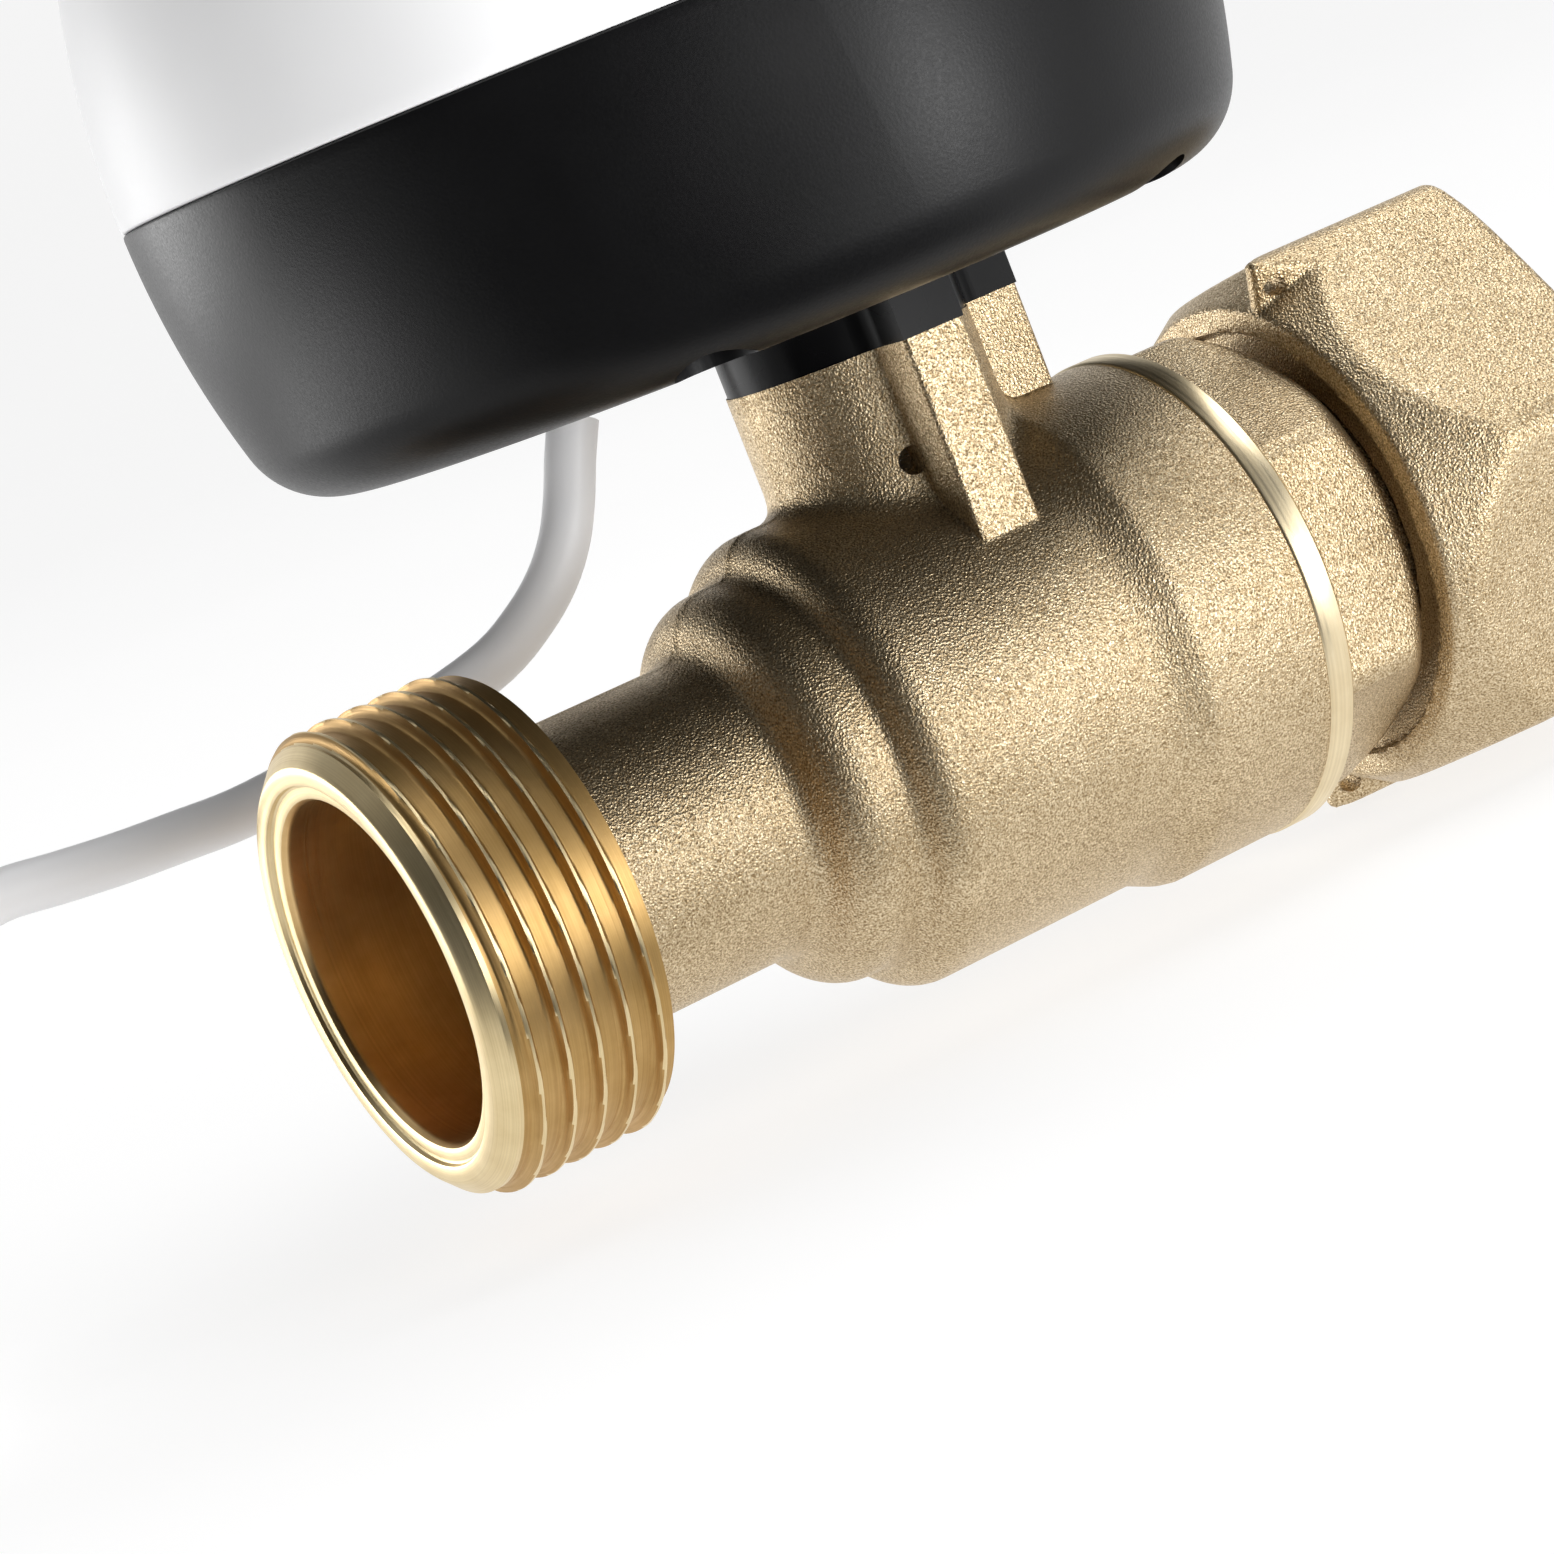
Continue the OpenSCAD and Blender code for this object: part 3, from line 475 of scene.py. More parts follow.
def casting_field(p):
    x, y, z = p.T
    r = np.hypot(y, z)
    shoulder = rounded_end(x, r, SHOULDER_X, SHOULDER_R, SHOULDER_ROUND)
    chamber = rounded_end(x, r, CHAMBER_X, CHAMBER_R, CHAMBER_ROUND)
    ring = np.maximum(sloped(r, x - RAMP_X, CHAMBER_R, RAMP_RISE), r - RING_R)
    outer = smooth_join(r - TUBE_R, shoulder, 1.6)
    outer = smooth_join(outer, chamber, 0.9)
    outer = smooth_join(outer, ring, 0.5)
    u, v = x - STEM_X, y
    from_stem = np.hypot(u, v)
    core = from_stem - NECK_R
    half = RIB_W / 2 - RIB_HIDDEN
    across = rounded_box_plan(u, v, half, RIB_REACH - RIB_HIDDEN, RIB_EDGE)
    to_nut = rounded_box_plan(u - RIB_REACH_NUT / 2, v, RIB_REACH_NUT / 2 - RIB_HIDDEN, half, RIB_EDGE)
    ribbed = smooth_join(core, np.minimum(across, to_nut), 0.9)
    outer = smooth_join(outer, np.maximum(core, NECK_FOOT - z), 2.0)
    outer = smooth_join(outer, np.maximum(ribbed, NECK_FOOT - z), 0.5)
    before = np.clip((PART_LINE_X - x) / PART_LINE_FADE, 0, 1)
    above = np.clip((z - PART_LINE_Z) / PART_LINE_FADE, 0, 1)
    outer = outer - PART_LINE * np.exp(-(y / PART_LINE_W) ** 2) * before * above
    holes = np.minimum(bores(x, r, WATERWAY), bores(z, from_stem, STEM_BORES))
    return np.maximum(outer, -holes)


def tail_field(p):
    x, y, z = p.T
    r = np.hypot(y, z)
    hexagon = np.maximum(hexagon_plan(z, y, HEX_APOTHEM, HEX_CORNER), r - HEX_CORNER_R)
    hexagon = smooth_meet(hexagon, x - HEX_END, 0.5)
    hexagon = smooth_meet(hexagon, sloped(r, x - HEX_END + HEX_BEVEL, HEX_CORNER_R, HEX_BEVEL_RISE), 0.6)
    hexagon = np.maximum(hexagon, BODY_END - x)
    spigot = np.maximum(r - TAIL_SPIGOT_R, between(x, TAIL_X, BODY_END + 1))
    tube = np.maximum(r - TAIL_TUBE_R, between(x, HEX_END - 1, TAIL_END))
    outer = np.minimum(np.minimum(hexagon, spigot), tube)
    for floor_r, middle, half in TAIL_GROOVES:
        outer = np.maximum(outer, -np.maximum(floor_r - r, np.abs(x - middle) - half))
    return np.maximum(outer, -bores(x, r, TAIL_BORES))


def nut_field(p):
    x = p[:, 0]
    turn = math.radians(-NUT_TURN)
    y = p[:, 1] * math.cos(turn) + p[:, 2] * math.sin(turn)
    z = -p[:, 1] * math.sin(turn) + p[:, 2] * math.cos(turn)
    r = np.hypot(y, z)
    cone = sloped(r, x - NUT_X, RIM_R, NUT_CONE_RISE)
    for a in EAR_TURNS:
        ca, sa = math.cos(math.radians(a)), math.sin(math.radians(a))
        across, high = y * ca + z * sa, -y * sa + z * ca
        sides = sloped(np.abs(across), x - EAR_X, EAR_HALF, EAR_FLARE)
        ear = smooth_meet(smooth_meet(EAR_X - x, sides, 0.2), EAR_FLOOR - high, 0.1)
        cone = smooth_join(cone, ear, 0.3)
    outer = smooth_meet(hexagon_plan(y, z, NUT_AF / 2, NUT_CORNER), cone, 0.4)
    outer = smooth_meet(outer, sloped(r, x - NUT_END + NUT_BEVEL, NUT_TIP_R, NUT_BEVEL_RISE), 0.6)
    outer = smooth_meet(outer, x - NUT_END, 0.6)
    outer = smooth_meet(outer, NUT_X - x, 0.4)
    return np.maximum(outer, -bores(x, r, NUT_BORES))


# Materials
def add_node(tree, kind, **settings):
    node = tree.nodes.new(kind)
    for key, value in settings.items():
        setattr(node, key, value)
    return node


class Finish:
    """A material under construction: adds nodes and wires them."""

    def __init__(self, name):
        self.material = bpy.data.materials.new(name)
        self.material.use_nodes = True
        self.tree = self.material.node_tree
        self.shader = next(n for n in self.tree.nodes if n.type == "BSDF_PRINCIPLED")
        self.place = self.add("ShaderNodeTexCoord").outputs["Object"]

    def add(self, kind, **settings):
        return add_node(self.tree, kind, **settings)

    def wire(self, a, b):
        self.tree.links.new(a, b)

    def fixed(self, **sockets):
        for key, value in sockets.items():
            self.shader.inputs[key.replace("_", " ")].default_value = value
        return self

    def noise(self, scale, detail=3, rough=0.55, place=None):
        node = self.add("ShaderNodeTexNoise")
        node.inputs["Scale"].default_value = scale
        node.inputs["Detail"].default_value = detail
        node.inputs["Roughness"].default_value = rough
        self.wire(place or self.place, node.inputs["Vector"])
        return node.outputs["Fac"]

    def stretched(self, stretch):
        """The place on the piece, drawn together along each axis by a factor."""
        node = self.add("ShaderNodeMapping")
        node.inputs["Scale"].default_value = stretch
        self.wire(self.place, node.inputs["Vector"])
        return node.outputs["Vector"]

    def along_and_out(self):
        """The place along the pipe and the distance from its axis, as one vector."""
        split, flat, both = (self.add("ShaderNode" + k) for k in ("SeparateXYZ", "CombineXYZ", "CombineXYZ"))
        self.wire(self.place, split.inputs["Vector"])
        self.wire(split.outputs["Y"], flat.inputs["X"])
        self.wire(split.outputs["Z"], flat.inputs["Y"])
        length = self.add("ShaderNodeVectorMath", operation="LENGTH")
        self.wire(flat.outputs["Vector"], length.inputs[0])
        self.wire(split.outputs["X"], both.inputs["X"])
        self.wire(length.outputs["Value"], both.inputs["Y"])
        return both.outputs["Vector"]

    def cells(self, scale):
        node = self.add("ShaderNodeTexVoronoi", feature="F1")
        node.inputs["Scale"].default_value = scale
        self.wire(self.place, node.inputs["Vector"])
        return node.outputs["Distance"]

    def ramp(self, source, stops):
        node = self.add("ShaderNodeValToRGB")
        while len(node.color_ramp.elements) < len(stops):
            node.color_ramp.elements.new(0.5)
        for element, (at, colour) in zip(node.color_ramp.elements, stops):
            element.position = at
            element.color = (*colour, 1)
        self.wire(source, node.inputs["Fac"])
        return node.outputs["Color"]

    def tones(self, source, dark, light):
        return self.ramp(source, [(0.3, dark), (0.7, light)])

    def span(self, source, low, high, start=0.3, end=0.7):
        node = self.add("ShaderNodeMapRange")
        node.inputs["From Min"].default_value = start
        node.inputs["From Max"].default_value = end
        node.inputs["To Min"].default_value = low
        node.inputs["To Max"].default_value = high
        self.wire(source, node.inputs["Value"])
        return node.outputs["Result"]

    def shaded(self, tone, shade, share):
        """One colour darkened by a share of another."""
        node = self.add("ShaderNodeMix", data_type="RGBA", blend_type="MULTIPLY")
        node.inputs["Factor"].default_value = share
        self.wire(tone, node.inputs["A"])
        self.wire(shade, node.inputs["B"])
        return node.outputs["Result"]

    def colour(self, source):
        self.wire(source, self.shader.inputs["Base Color"])
        return self

    def roughness(self, source):
        self.wire(source, self.shader.inputs["Roughness"])
        return self

    def bumps(self, *layers):
        """Layers of relief, each given by source, strength and depth in millimetres."""
        last = None
        for source, strength, depth in layers:
            node = self.add("ShaderNodeBump")
            node.inputs["Strength"].default_value = strength
            node.inputs["Distance"].default_value = depth * MM
            self.wire(source, node.inputs["Height"])
            if last:
                self.wire(last, node.inputs["Normal"])
            last = node.outputs["Normal"]
        self.wire(last, self.shader.inputs["Normal"])
        return self


def blasted_brass():
    f = Finish("blasted_brass")
    grain, patches = f.noise(7000, detail=2, rough=0.5), f.noise(160)
    pit, skin, glint = (0.28, 0.19, 0.09), (0.625, 0.485, 0.30), (0.95, 0.81, 0.57)
    tone = f.ramp(grain, [(0.31, pit), (0.5, skin), (0.69, glint)])
    wear = f.tones(patches, (0.86, 0.84, 0.80), (1, 1, 1))
    f.colour(f.shaded(tone, wear, 0.8)).roughness(f.span(grain, 0.46, 0.32))
    f.bumps((patches, 0.2, 0.2), (f.cells(5000), 0.9, 0.055), (grain, 1.0, 0.07))
    return f.fixed(Metallic=1.0).material


def turned_brass(name, dark, light, rough, line_scale):
    """Machined brass with fine lines round the pipe axis."""
    f = Finish(name)
    lines = f.noise(line_scale, rough=0.5, place=f.along_and_out())
    patches = f.noise(220, detail=4, rough=0.6)
    streak = f.tones(lines, (0.80, 0.78, 0.74), (1, 1, 1))
    f.colour(f.shaded(f.tones(patches, dark, light), streak, 0.7))
    f.roughness(f.span(lines, rough + 0.07, rough - 0.06))
    f.bumps((lines, 0.2, 0.01), (patches, 0.05, 0.04))
    return f.fixed(Metallic=1.0).material


def moulded_black():
    f = Finish("moulded_black")
    grain, patches = f.noise(5200, detail=2), f.noise(90, detail=2)
    f.colour(f.tones(patches, (0.0030, 0.0030, 0.0033), (0.0050, 0.0050, 0.0054)))
    f.roughness(f.span(grain, 0.42, 0.32))
    f.bumps((f.cells(4200), 0.25, 0.02), (grain, 0.3, 0.015))
    return f.fixed(Specular_IOR_Level=0.18).material


def satin_white():
    f = Finish("satin_white")
    grain, patches = f.noise(3800, detail=2), f.noise(70, detail=2)
    f.colour(f.tones(patches, (0.77, 0.77, 0.775), (0.80, 0.80, 0.805)))
    f.roughness(f.span(grain, 0.46, 0.36)).bumps((grain, 0.12, 0.01), (patches, 0.05, 0.05))
    return f.fixed(Specular_IOR_Level=0.22).material


def smooth_black():
    f = Finish("smooth_black")
    grain, patches = f.noise(2400, detail=2), f.noise(120)
    f.colour(f.tones(patches, (0.002, 0.002, 0.0022), (0.004, 0.004, 0.0044)))
    f.roughness(f.span(patches, 0.22, 0.32)).bumps((grain, 0.08, 0.01))
    return f.fixed(Specular_IOR_Level=0.13).material


def cable_sheath():
    f = Finish("cable_sheath")
    grain, patches = f.noise(2200, detail=2), f.noise(60, detail=2)
    f.colour(f.tones(patches, (0.75, 0.75, 0.76), (0.80, 0.80, 0.81)))
    f.roughness(f.span(grain, 0.50, 0.40)).bumps((grain, 0.12, 0.02))
    return f.fixed(Specular_IOR_Level=0.4).material


def plain_finish(name, dark, light, low, high):
    f = Finish(name)
    patches, grain = f.noise(300), f.noise(2700, detail=2)
    f.colour(f.tones(patches, dark, light)).roughness(f.span(grain, low, high))
    return f.bumps((grain, 0.12, 0.02)).material


def brushed_metal(name, dark, light, low, high):
    f = Finish(name)
    lines = f.noise(900, rough=0.6, place=f.stretched((1, 1, 14)))
    f.colour(f.tones(lines, dark, light)).roughness(f.span(lines, low, high))
    return f.bumps((lines, 0.15, 0.02)).fixed(Metallic=1.0).material


def board_mask():
    f = Finish("board_mask")
    weave, patches = f.cells(700), f.noise(240)
    green = f.ramp(patches, [(0.35, (0.006, 0.075, 0.030)), (0.65, (0.012, 0.125, 0.052))])
    threads = f.ramp(weave, [(0.1, (0.75, 0.75, 0.75)), (0.6, (1, 1, 1))])
    f.colour(f.shaded(green, threads, 0.5)).roughness(f.span(weave, 0.32, 0.22, 0.1, 0.6))
    return f.bumps((weave, 0.1, 0.02)).material


CAST = blasted_brass()
THREAD_BRASS = turned_brass("thread_brass", (0.53, 0.335, 0.12), (0.64, 0.42, 0.175), 0.46, 8000)
# Paler copy of the turned brass for the thread end's crests and front face: a painted highlight
PAINTED_HIGHLIGHT_BRASS = turned_brass("face_brass", (0.80, 0.64, 0.36), (0.92, 0.76, 0.46), 0.36, 9000)
MOUTH_BRASS = turned_brass("mouth_brass", (0.70, 0.46, 0.20), (0.88, 0.63, 0.31), 0.36, 6000)
BAND_BRASS = turned_brass("band_brass", (0.82, 0.68, 0.44), (0.93, 0.80, 0.55), 0.34, 6000)
BLACK = moulded_black()
WHITE = satin_white()
COLLAR = smooth_black()
SHEATH = cable_sheath()
STEEL = brushed_metal("bright_steel", (0.42, 0.43, 0.45), (0.66, 0.67, 0.69), 0.34, 0.24)
CHROME = brushed_metal("polished_ball", (0.66, 0.67, 0.69), (0.78, 0.79, 0.81), 0.12, 0.06)
RUBBER = plain_finish("seal_rubber", (0.012, 0.012, 0.013), (0.022, 0.022, 0.023), 0.62, 0.50)
SEAT = plain_finish("seat_white", (0.70, 0.69, 0.66), (0.78, 0.77, 0.74), 0.5, 0.4)
NYLON = plain_finish("gear_nylon", (0.62, 0.60, 0.53), (0.70, 0.68, 0.61), 0.5, 0.38)
DARK = plain_finish("switch_black", (0.014, 0.014, 0.015), (0.024, 0.024, 0.025), 0.5, 0.4)
BOARD = board_mask()
TINNED = brushed_metal("tinned_cans", (0.50, 0.51, 0.52), (0.66, 0.67, 0.68), 0.36, 0.26)
SLOT_FINISH = {
    "cast_brass": CAST, "turned_brass": BAND_BRASS, "chromed_ball": CHROME, "steel": STEEL,
    "seat_plastic": SEAT, "seal_rubber": RUBBER, "black_plastic": BLACK, "white_plastic": WHITE,
    "gear_plastic": NYLON, "dark_plastic": DARK, "board_laminate": BOARD, "component_metal": TINNED,
    "cable_jacket": SHEATH}
for part in frame["record"]["subparts"]:
    mesh = nodes[part["node"]].data
    mesh.materials.clear()
    mesh.materials.append(SLOT_FINISH[part["material_slot"]])
nodes["neck_collar"].data.materials[0] = COLLAR
nodes["cable_grommet"].data.materials[0] = COLLAR


# Geometry node trees
def node_tree(name, inputs):
    tree = bpy.data.node_groups.new(name, "GeometryNodeTree")
    tree.interface.new_socket("Geometry", in_out="INPUT", socket_type="NodeSocketGeometry")
    for label, kind in inputs:
        tree.interface.new_socket(label, in_out="INPUT", socket_type="NodeSocket" + kind)
    tree.interface.new_socket("Geometry", in_out="OUTPUT", socket_type="NodeSocketGeometry")
    return tree


def painted_end(tree, geometry, material):
    """Ends a tree: makes copies real, paints them and hands them out."""
    real = add_node(tree, "GeometryNodeRealizeInstances")
    tree.links.new(geometry, real.inputs[0])
    paint = add_node(tree, "GeometryNodeSetMaterial")
    tree.links.new(real.outputs[0], paint.inputs["Geometry"])
    tree.links.new(material, paint.inputs["Material"])
    tree.links.new(paint.outputs[0], add_node(tree, "NodeGroupOutput").inputs[0])


def thread_cutter():
    """Cuts a screw thread round the X axis into a turned blank, on its outside or its inside."""
    tree = node_tree("thread_cutter", [
        ("Crest Radius", "Float"), ("Pitch", "Float"), ("Depth", "Float"), ("Crest Width", "Float"),
        ("Flank End", "Float"), ("Inside", "Bool"), ("Material", "Material")])
    link = tree.links.new

    def math_node(operation, a, b=None):
        node = add_node(tree, "ShaderNodeMath", operation=operation)
        for socket, value in zip(node.inputs, (a, b)):
            if isinstance(value, (int, float)):
                socket.default_value = value
            elif value is not None:
                link(value, socket)
        return node.outputs[0]

    given = add_node(tree, "NodeGroupInput").outputs
    split = add_node(tree, "ShaderNodeSeparateXYZ")
    link(add_node(tree, "GeometryNodeInputPosition").outputs[0], split.inputs[0])
    x, y, z = split.outputs
    radius = math_node("SQRT", math_node("ADD", math_node("MULTIPLY", y, y), math_node("MULTIPLY", z, z)))
    turns = math_node("DIVIDE", math_node("ARCTAN2", z, y), 2 * math.pi)
    phase = math_node("FRACT", math_node("SUBTRACT", math_node("DIVIDE", x, given["Pitch"]), turns))
    swing = math_node("ABSOLUTE", math_node("SUBTRACT", math_node("MULTIPLY", phase, 2.0), 1.0))
    slope = add_node(tree, "ShaderNodeMapRange")
    link(swing, slope.inputs["Value"])
    link(given["Crest Width"], slope.inputs["From Min"])
    link(given["Flank End"], slope.inputs["From Max"])
    slope.inputs["To Min"].default_value = 1.0
    slope.inputs["To Max"].default_value = 0.0
    left = slope.outputs["Result"]
    hollow = math_node("SUBTRACT", 1.0, math_node("MULTIPLY", left, left))
    depth = math_node("MULTIPLY", given["Depth"], hollow)
    root = math_node("SUBTRACT", given["Crest Radius"], given["Depth"])
    down = math_node("MINIMUM", radius, math_node("SUBTRACT", given["Crest Radius"], depth))
    outer_skin = math_node("GREATER_THAN", radius, root)
    outside = math_node("ADD", math_node("MULTIPLY", outer_skin, down),
                        math_node("MULTIPLY", math_node("SUBTRACT", 1.0, outer_skin), radius))
    inside = math_node("MAXIMUM", radius, math_node("ADD", given["Crest Radius"], depth))
    pick = add_node(tree, "GeometryNodeSwitch", input_type="FLOAT")
    link(given["Inside"], pick.inputs["Switch"])
    link(outside, pick.inputs["False"])
    link(inside, pick.inputs["True"])
    scale = math_node("DIVIDE", pick.outputs[0], radius)
    join = add_node(tree, "ShaderNodeCombineXYZ")
    link(x, join.inputs[0])
    link(math_node("MULTIPLY", y, scale), join.inputs[1])
    link(math_node("MULTIPLY", z, scale), join.inputs[2])
    place = add_node(tree, "GeometryNodeSetPosition")
    link(given["Geometry"], place.inputs["Geometry"])
    link(join.outputs[0], place.inputs["Position"])
    painted_end(tree, place.outputs[0], given["Material"])
    return tree


def copies_on_points():
    """Puts a copy of one piece on every point of the input."""
    tree = node_tree("copies_on_points", [("Piece", "Object"), ("Material", "Material")])
    given = add_node(tree, "NodeGroupInput").outputs
    info = add_node(tree, "GeometryNodeObjectInfo")
    tree.links.new(given["Piece"], info.inputs["Object"])
    spread = add_node(tree, "GeometryNodeInstanceOnPoints")
    tree.links.new(given["Geometry"], spread.inputs["Points"])
    tree.links.new(info.outputs["Geometry"], spread.inputs["Instance"])
    painted_end(tree, spread.outputs[0], given["Material"])
    return tree


def grown(name, mesh, tree, values):
    """The mesh that a node tree makes from the given mesh."""
    holder = placed(name, mesh)
    modifier = holder.modifiers.new("grow", "NODES")
    modifier.node_group = tree
    for item in tree.interface.items_tree:
        if item.in_out == "INPUT" and item.name in values:
            modifier[item.identifier] = values[item.name]
    return evaluated_mesh(holder, name)


CUT_THREAD = thread_cutter()
PUT_COPIES = copies_on_points()


# Brass pieces
def thread_end():
    """Threaded end with its stepped face, mouth and the start of the bore."""
    sleeve_r, crest_start, crest_end, lip = TUBE_R - 0.3, 1.85, THREAD_BACK - 0.55, 1.1
    back = [(sleeve_r, SLEEVE_END), (sleeve_r, THREAD_BACK), (15.9, THREAD_BACK), (16.3, THREAD_BACK - 0.1)]
    crests = [(THREAD_R, crest_end), (THREAD_R, crest_start), (16.4, 1.55), (15.0, 0.22), (14.8, 0.06)]
    front = [(14.55, 0.0), (13.75, 0.0), (13.55, 0.08), (13.45, 0.36), (13.3, 0.45), (12.75, 0.45),
             (12.45, 0.55), (12.25, 0.85)]
    mouth = finer([(MOUTH_R, lip), (MOUTH_R, MOUTH_END)], step=1.0)
    bore = [(BORE_R, MOUTH_END + 2), (BORE_R, SLEEVE_END)]
    outline = back + finer(crests, step=0.1) + front + mouth + bore
    blank = turned("thread_end", outline, segments=192, axis="X")
    mesh = grown("thread_end", blank, CUT_THREAD, {
        "Crest Radius": THREAD_R * MM, "Pitch": THREAD_PITCH * MM, "Depth": THREAD_DEPTH * MM,
        "Crest Width": 0.13, "Flank End": 0.50, "Inside": False, "Material": THREAD_BRASS})
    piece = new_piece("thread_end", mesh, THREAD_BRASS, smooth_angle=30)
    mesh.materials.append(MOUTH_BRASS)
    mesh.materials.append(PAINTED_HIGHLIGHT_BRASS)
    # The mouth takes the mouth brass; the crests and the front face take the paler brass, a painted highlight
    # on the same turned metal
    for face in mesh.polygons:
        x, y, z = face.center / MM
        radius = math.hypot(y, z)
        on_front = x < 1.5 and radius < THREAD_R - 0.6
        if radius < MOUTH_R + 0.15 and x < THREAD_BACK - 0.5:
            face.material_index = 1
        elif on_front or radius > THREAD_R - 0.05:
            face.material_index = 2
    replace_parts(piece, "valve_body")


def body_casting():
    planes = [(0, CAST_X, -1), (0, BAND_X, 1), (2, NECK_TOP, 1)]
    mesh = trimmed(remeshed("body_casting", nodes["valve_body"].data, voxel=0.42), planes)
    drawn_onto(mesh, casting_field, planes)
    weep = rod("weep", WEEP_R, start=5.4, end=14, segments=32, axis="X")
    weep.transform(Matrix.Rotation(math.radians(WEEP_TURN), 4, "Z"))
    weep.transform(Matrix.Translation(Vector((STEM_X, 0, WEEP_Z)) * MM))
    mesh = cut_away(mesh, [weep])
    piece = new_piece("body_casting", mesh, CAST, smooth_angle=50)
    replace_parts(piece, "valve_body")


def neck_rib(turn, reach):
    """Flat upright rib with rounded outer edges, turned about the stem."""
    bm = bmesh.new()
    middle_x = (reach + RIB_START) / 2
    corners = add_block(bm, (reach - RIB_START, RIB_W, NECK_TOP - RIB_FOOT),
                        (middle_x, 0, (NECK_TOP + RIB_FOOT) / 2))
    outer = [e for e in edges_at(corners) if all(v.co.x > middle_x * MM for v in e.verts)]
    upright = [e for e in outer if abs(e.verts[0].co.z - e.verts[1].co.z) > MM]
    bmesh.ops.bevel(bm, geom=upright, offset=0.4 * MM, segments=4, profile=0.5, affect="EDGES")
    mesh = mesh_of(bm, "neck_rib")
    mesh.transform(Matrix.Rotation(math.radians(turn), 4, "Z"))
    mesh.transform(Matrix.Translation((STEM_X * MM, 0, 0)))
    return mesh


def neck_ribs():
    """Three flat ribs that stand out from the round neck."""
    mesh = joined("neck_ribs", [neck_rib(turn, reach) for turn, reach in RIBS])
    piece = new_piece("neck_ribs", mesh, CAST, smooth_angle=30)
    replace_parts(piece, "valve_body")


def neck_spigot():
    """Screwed spigot on the neck's top, inside the collar and the housing."""
    low, bore_r, cup_r, cup_z = NECK_TOP - 0.3, 4.6, 6.1, SPIGOT_TOP - 2.4
    outline = [(bore_r, low), (SPIGOT_R, low)]
    for k in range(SPIGOT_RIDGES):
        crest = SPIGOT_TOP - 8.4 + k
        outline += [(SPIGOT_R, crest), (SPIGOT_R - 0.45, crest + 0.5)]
    outline += [(SPIGOT_R - 0.5, SPIGOT_TOP), (cup_r, SPIGOT_TOP), (cup_r, cup_z), (bore_r, cup_z)]
    mesh = turned("neck_spigot", outline, segments=96, centre=(STEM_X, 0, 0))
    piece = new_piece("neck_spigot", mesh, THREAD_BRASS, smooth_angle=30)
    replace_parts(piece, "valve_body")


def turned_band():
    outline = [(SOCKET_R, BAND_X), (RING_R - 0.1, BAND_X), (BAND_R - 0.1, BAND_X + 0.06),
               (BAND_R, BAND_X + 0.2), (BAND_R, BODY_END - 0.3), (BAND_R - 0.3, BODY_END),
               (SOCKET_R, BODY_END)]
    mesh = turned("turned_band", outline, segments=192, axis="X")
    piece = new_piece("turned_band", mesh, BAND_BRASS)
    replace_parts(piece, "valve_body")


def tail_hexagon():
    mesh = drawn_onto(remeshed("tail_hexagon", nodes["tail_piece"].data, voxel=0.36), tail_field)
    piece = new_piece("tail_hexagon", mesh, CAST, smooth_angle=50)
    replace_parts(piece, "tail_piece")


def nut_casting():
    mesh = drawn_onto(remeshed("nut_casting", nodes["union_nut"].data, voxel=0.38), nut_field)
    holes = []
    for a in EAR_TURNS:
        hole = rod("ear_hole", EAR_HOLE_R, start=-3, end=3, segments=24)
        hole.transform(Matrix.Rotation(math.pi / 2, 4, "X"))
        hole.transform(Matrix.Translation(Vector((NUT_X + 1.7, 0, (RIM_R + NUT_TIP_R) / 2)) * MM))
        hole.transform(Matrix.Rotation(math.radians(a - NUT_TURN), 4, "X"))
        holes.append(hole)
    mesh = cut_away(mesh, holes)
    piece = new_piece("nut_casting", mesh, CAST, body="nut", smooth_angle=50)
    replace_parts(piece, "union_nut")


def nut_thread():
    end, back_r = NUT_END - 0.1, 16.74
    skin = finer([(NUT_THREAD_R, NUT_THREAD_X), (NUT_THREAD_R, NUT_END - 0.8), (15.9, end)], step=0.12)
    outline = skin + [(back_r, end), (back_r, NUT_THREAD_X)]
    blank = turned("nut_thread", outline, segments=160, axis="X")
    mesh = grown("nut_thread", blank, CUT_THREAD, {
        "Crest Radius": NUT_THREAD_R * MM, "Pitch": THREAD_PITCH * MM, "Depth": NUT_THREAD_DEPTH * MM,
        "Crest Width": 0.16, "Flank End": 0.9, "Inside": True, "Material": THREAD_BRASS})
    piece = new_piece("nut_thread", mesh, THREAD_BRASS, body="nut", smooth_angle=34)
    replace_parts(piece, "union_nut")


# Housing pieces
def barrel(z, inset=0.0):
    """Radius of the housing's bulging side at a height, or of a wall inside it."""
    return BARREL_C + math.sqrt((BARREL_R - inset) ** 2 - (z - SEAM_Z) ** 2)


def barrel_side(start, end, count, inset=0.0):
    return [(barrel(z, inset), z) for z in np.linspace(start, end, count)]


def edge_round(z, e):
    """Centre of a rounding of radius e inside the bulging side, and the angle where the two meet."""
    r = barrel(z, e)
    return (r, z), math.degrees(math.atan2(z - SEAM_Z, r - BARREL_C))


def screw_places():
    turns = [math.radians(a) for a in SCREW_TURNS]
    return [(HOUSING_X + SCREW_RING_R * math.cos(a), SCREW_RING_R * math.sin(a), 0) for a in turns]


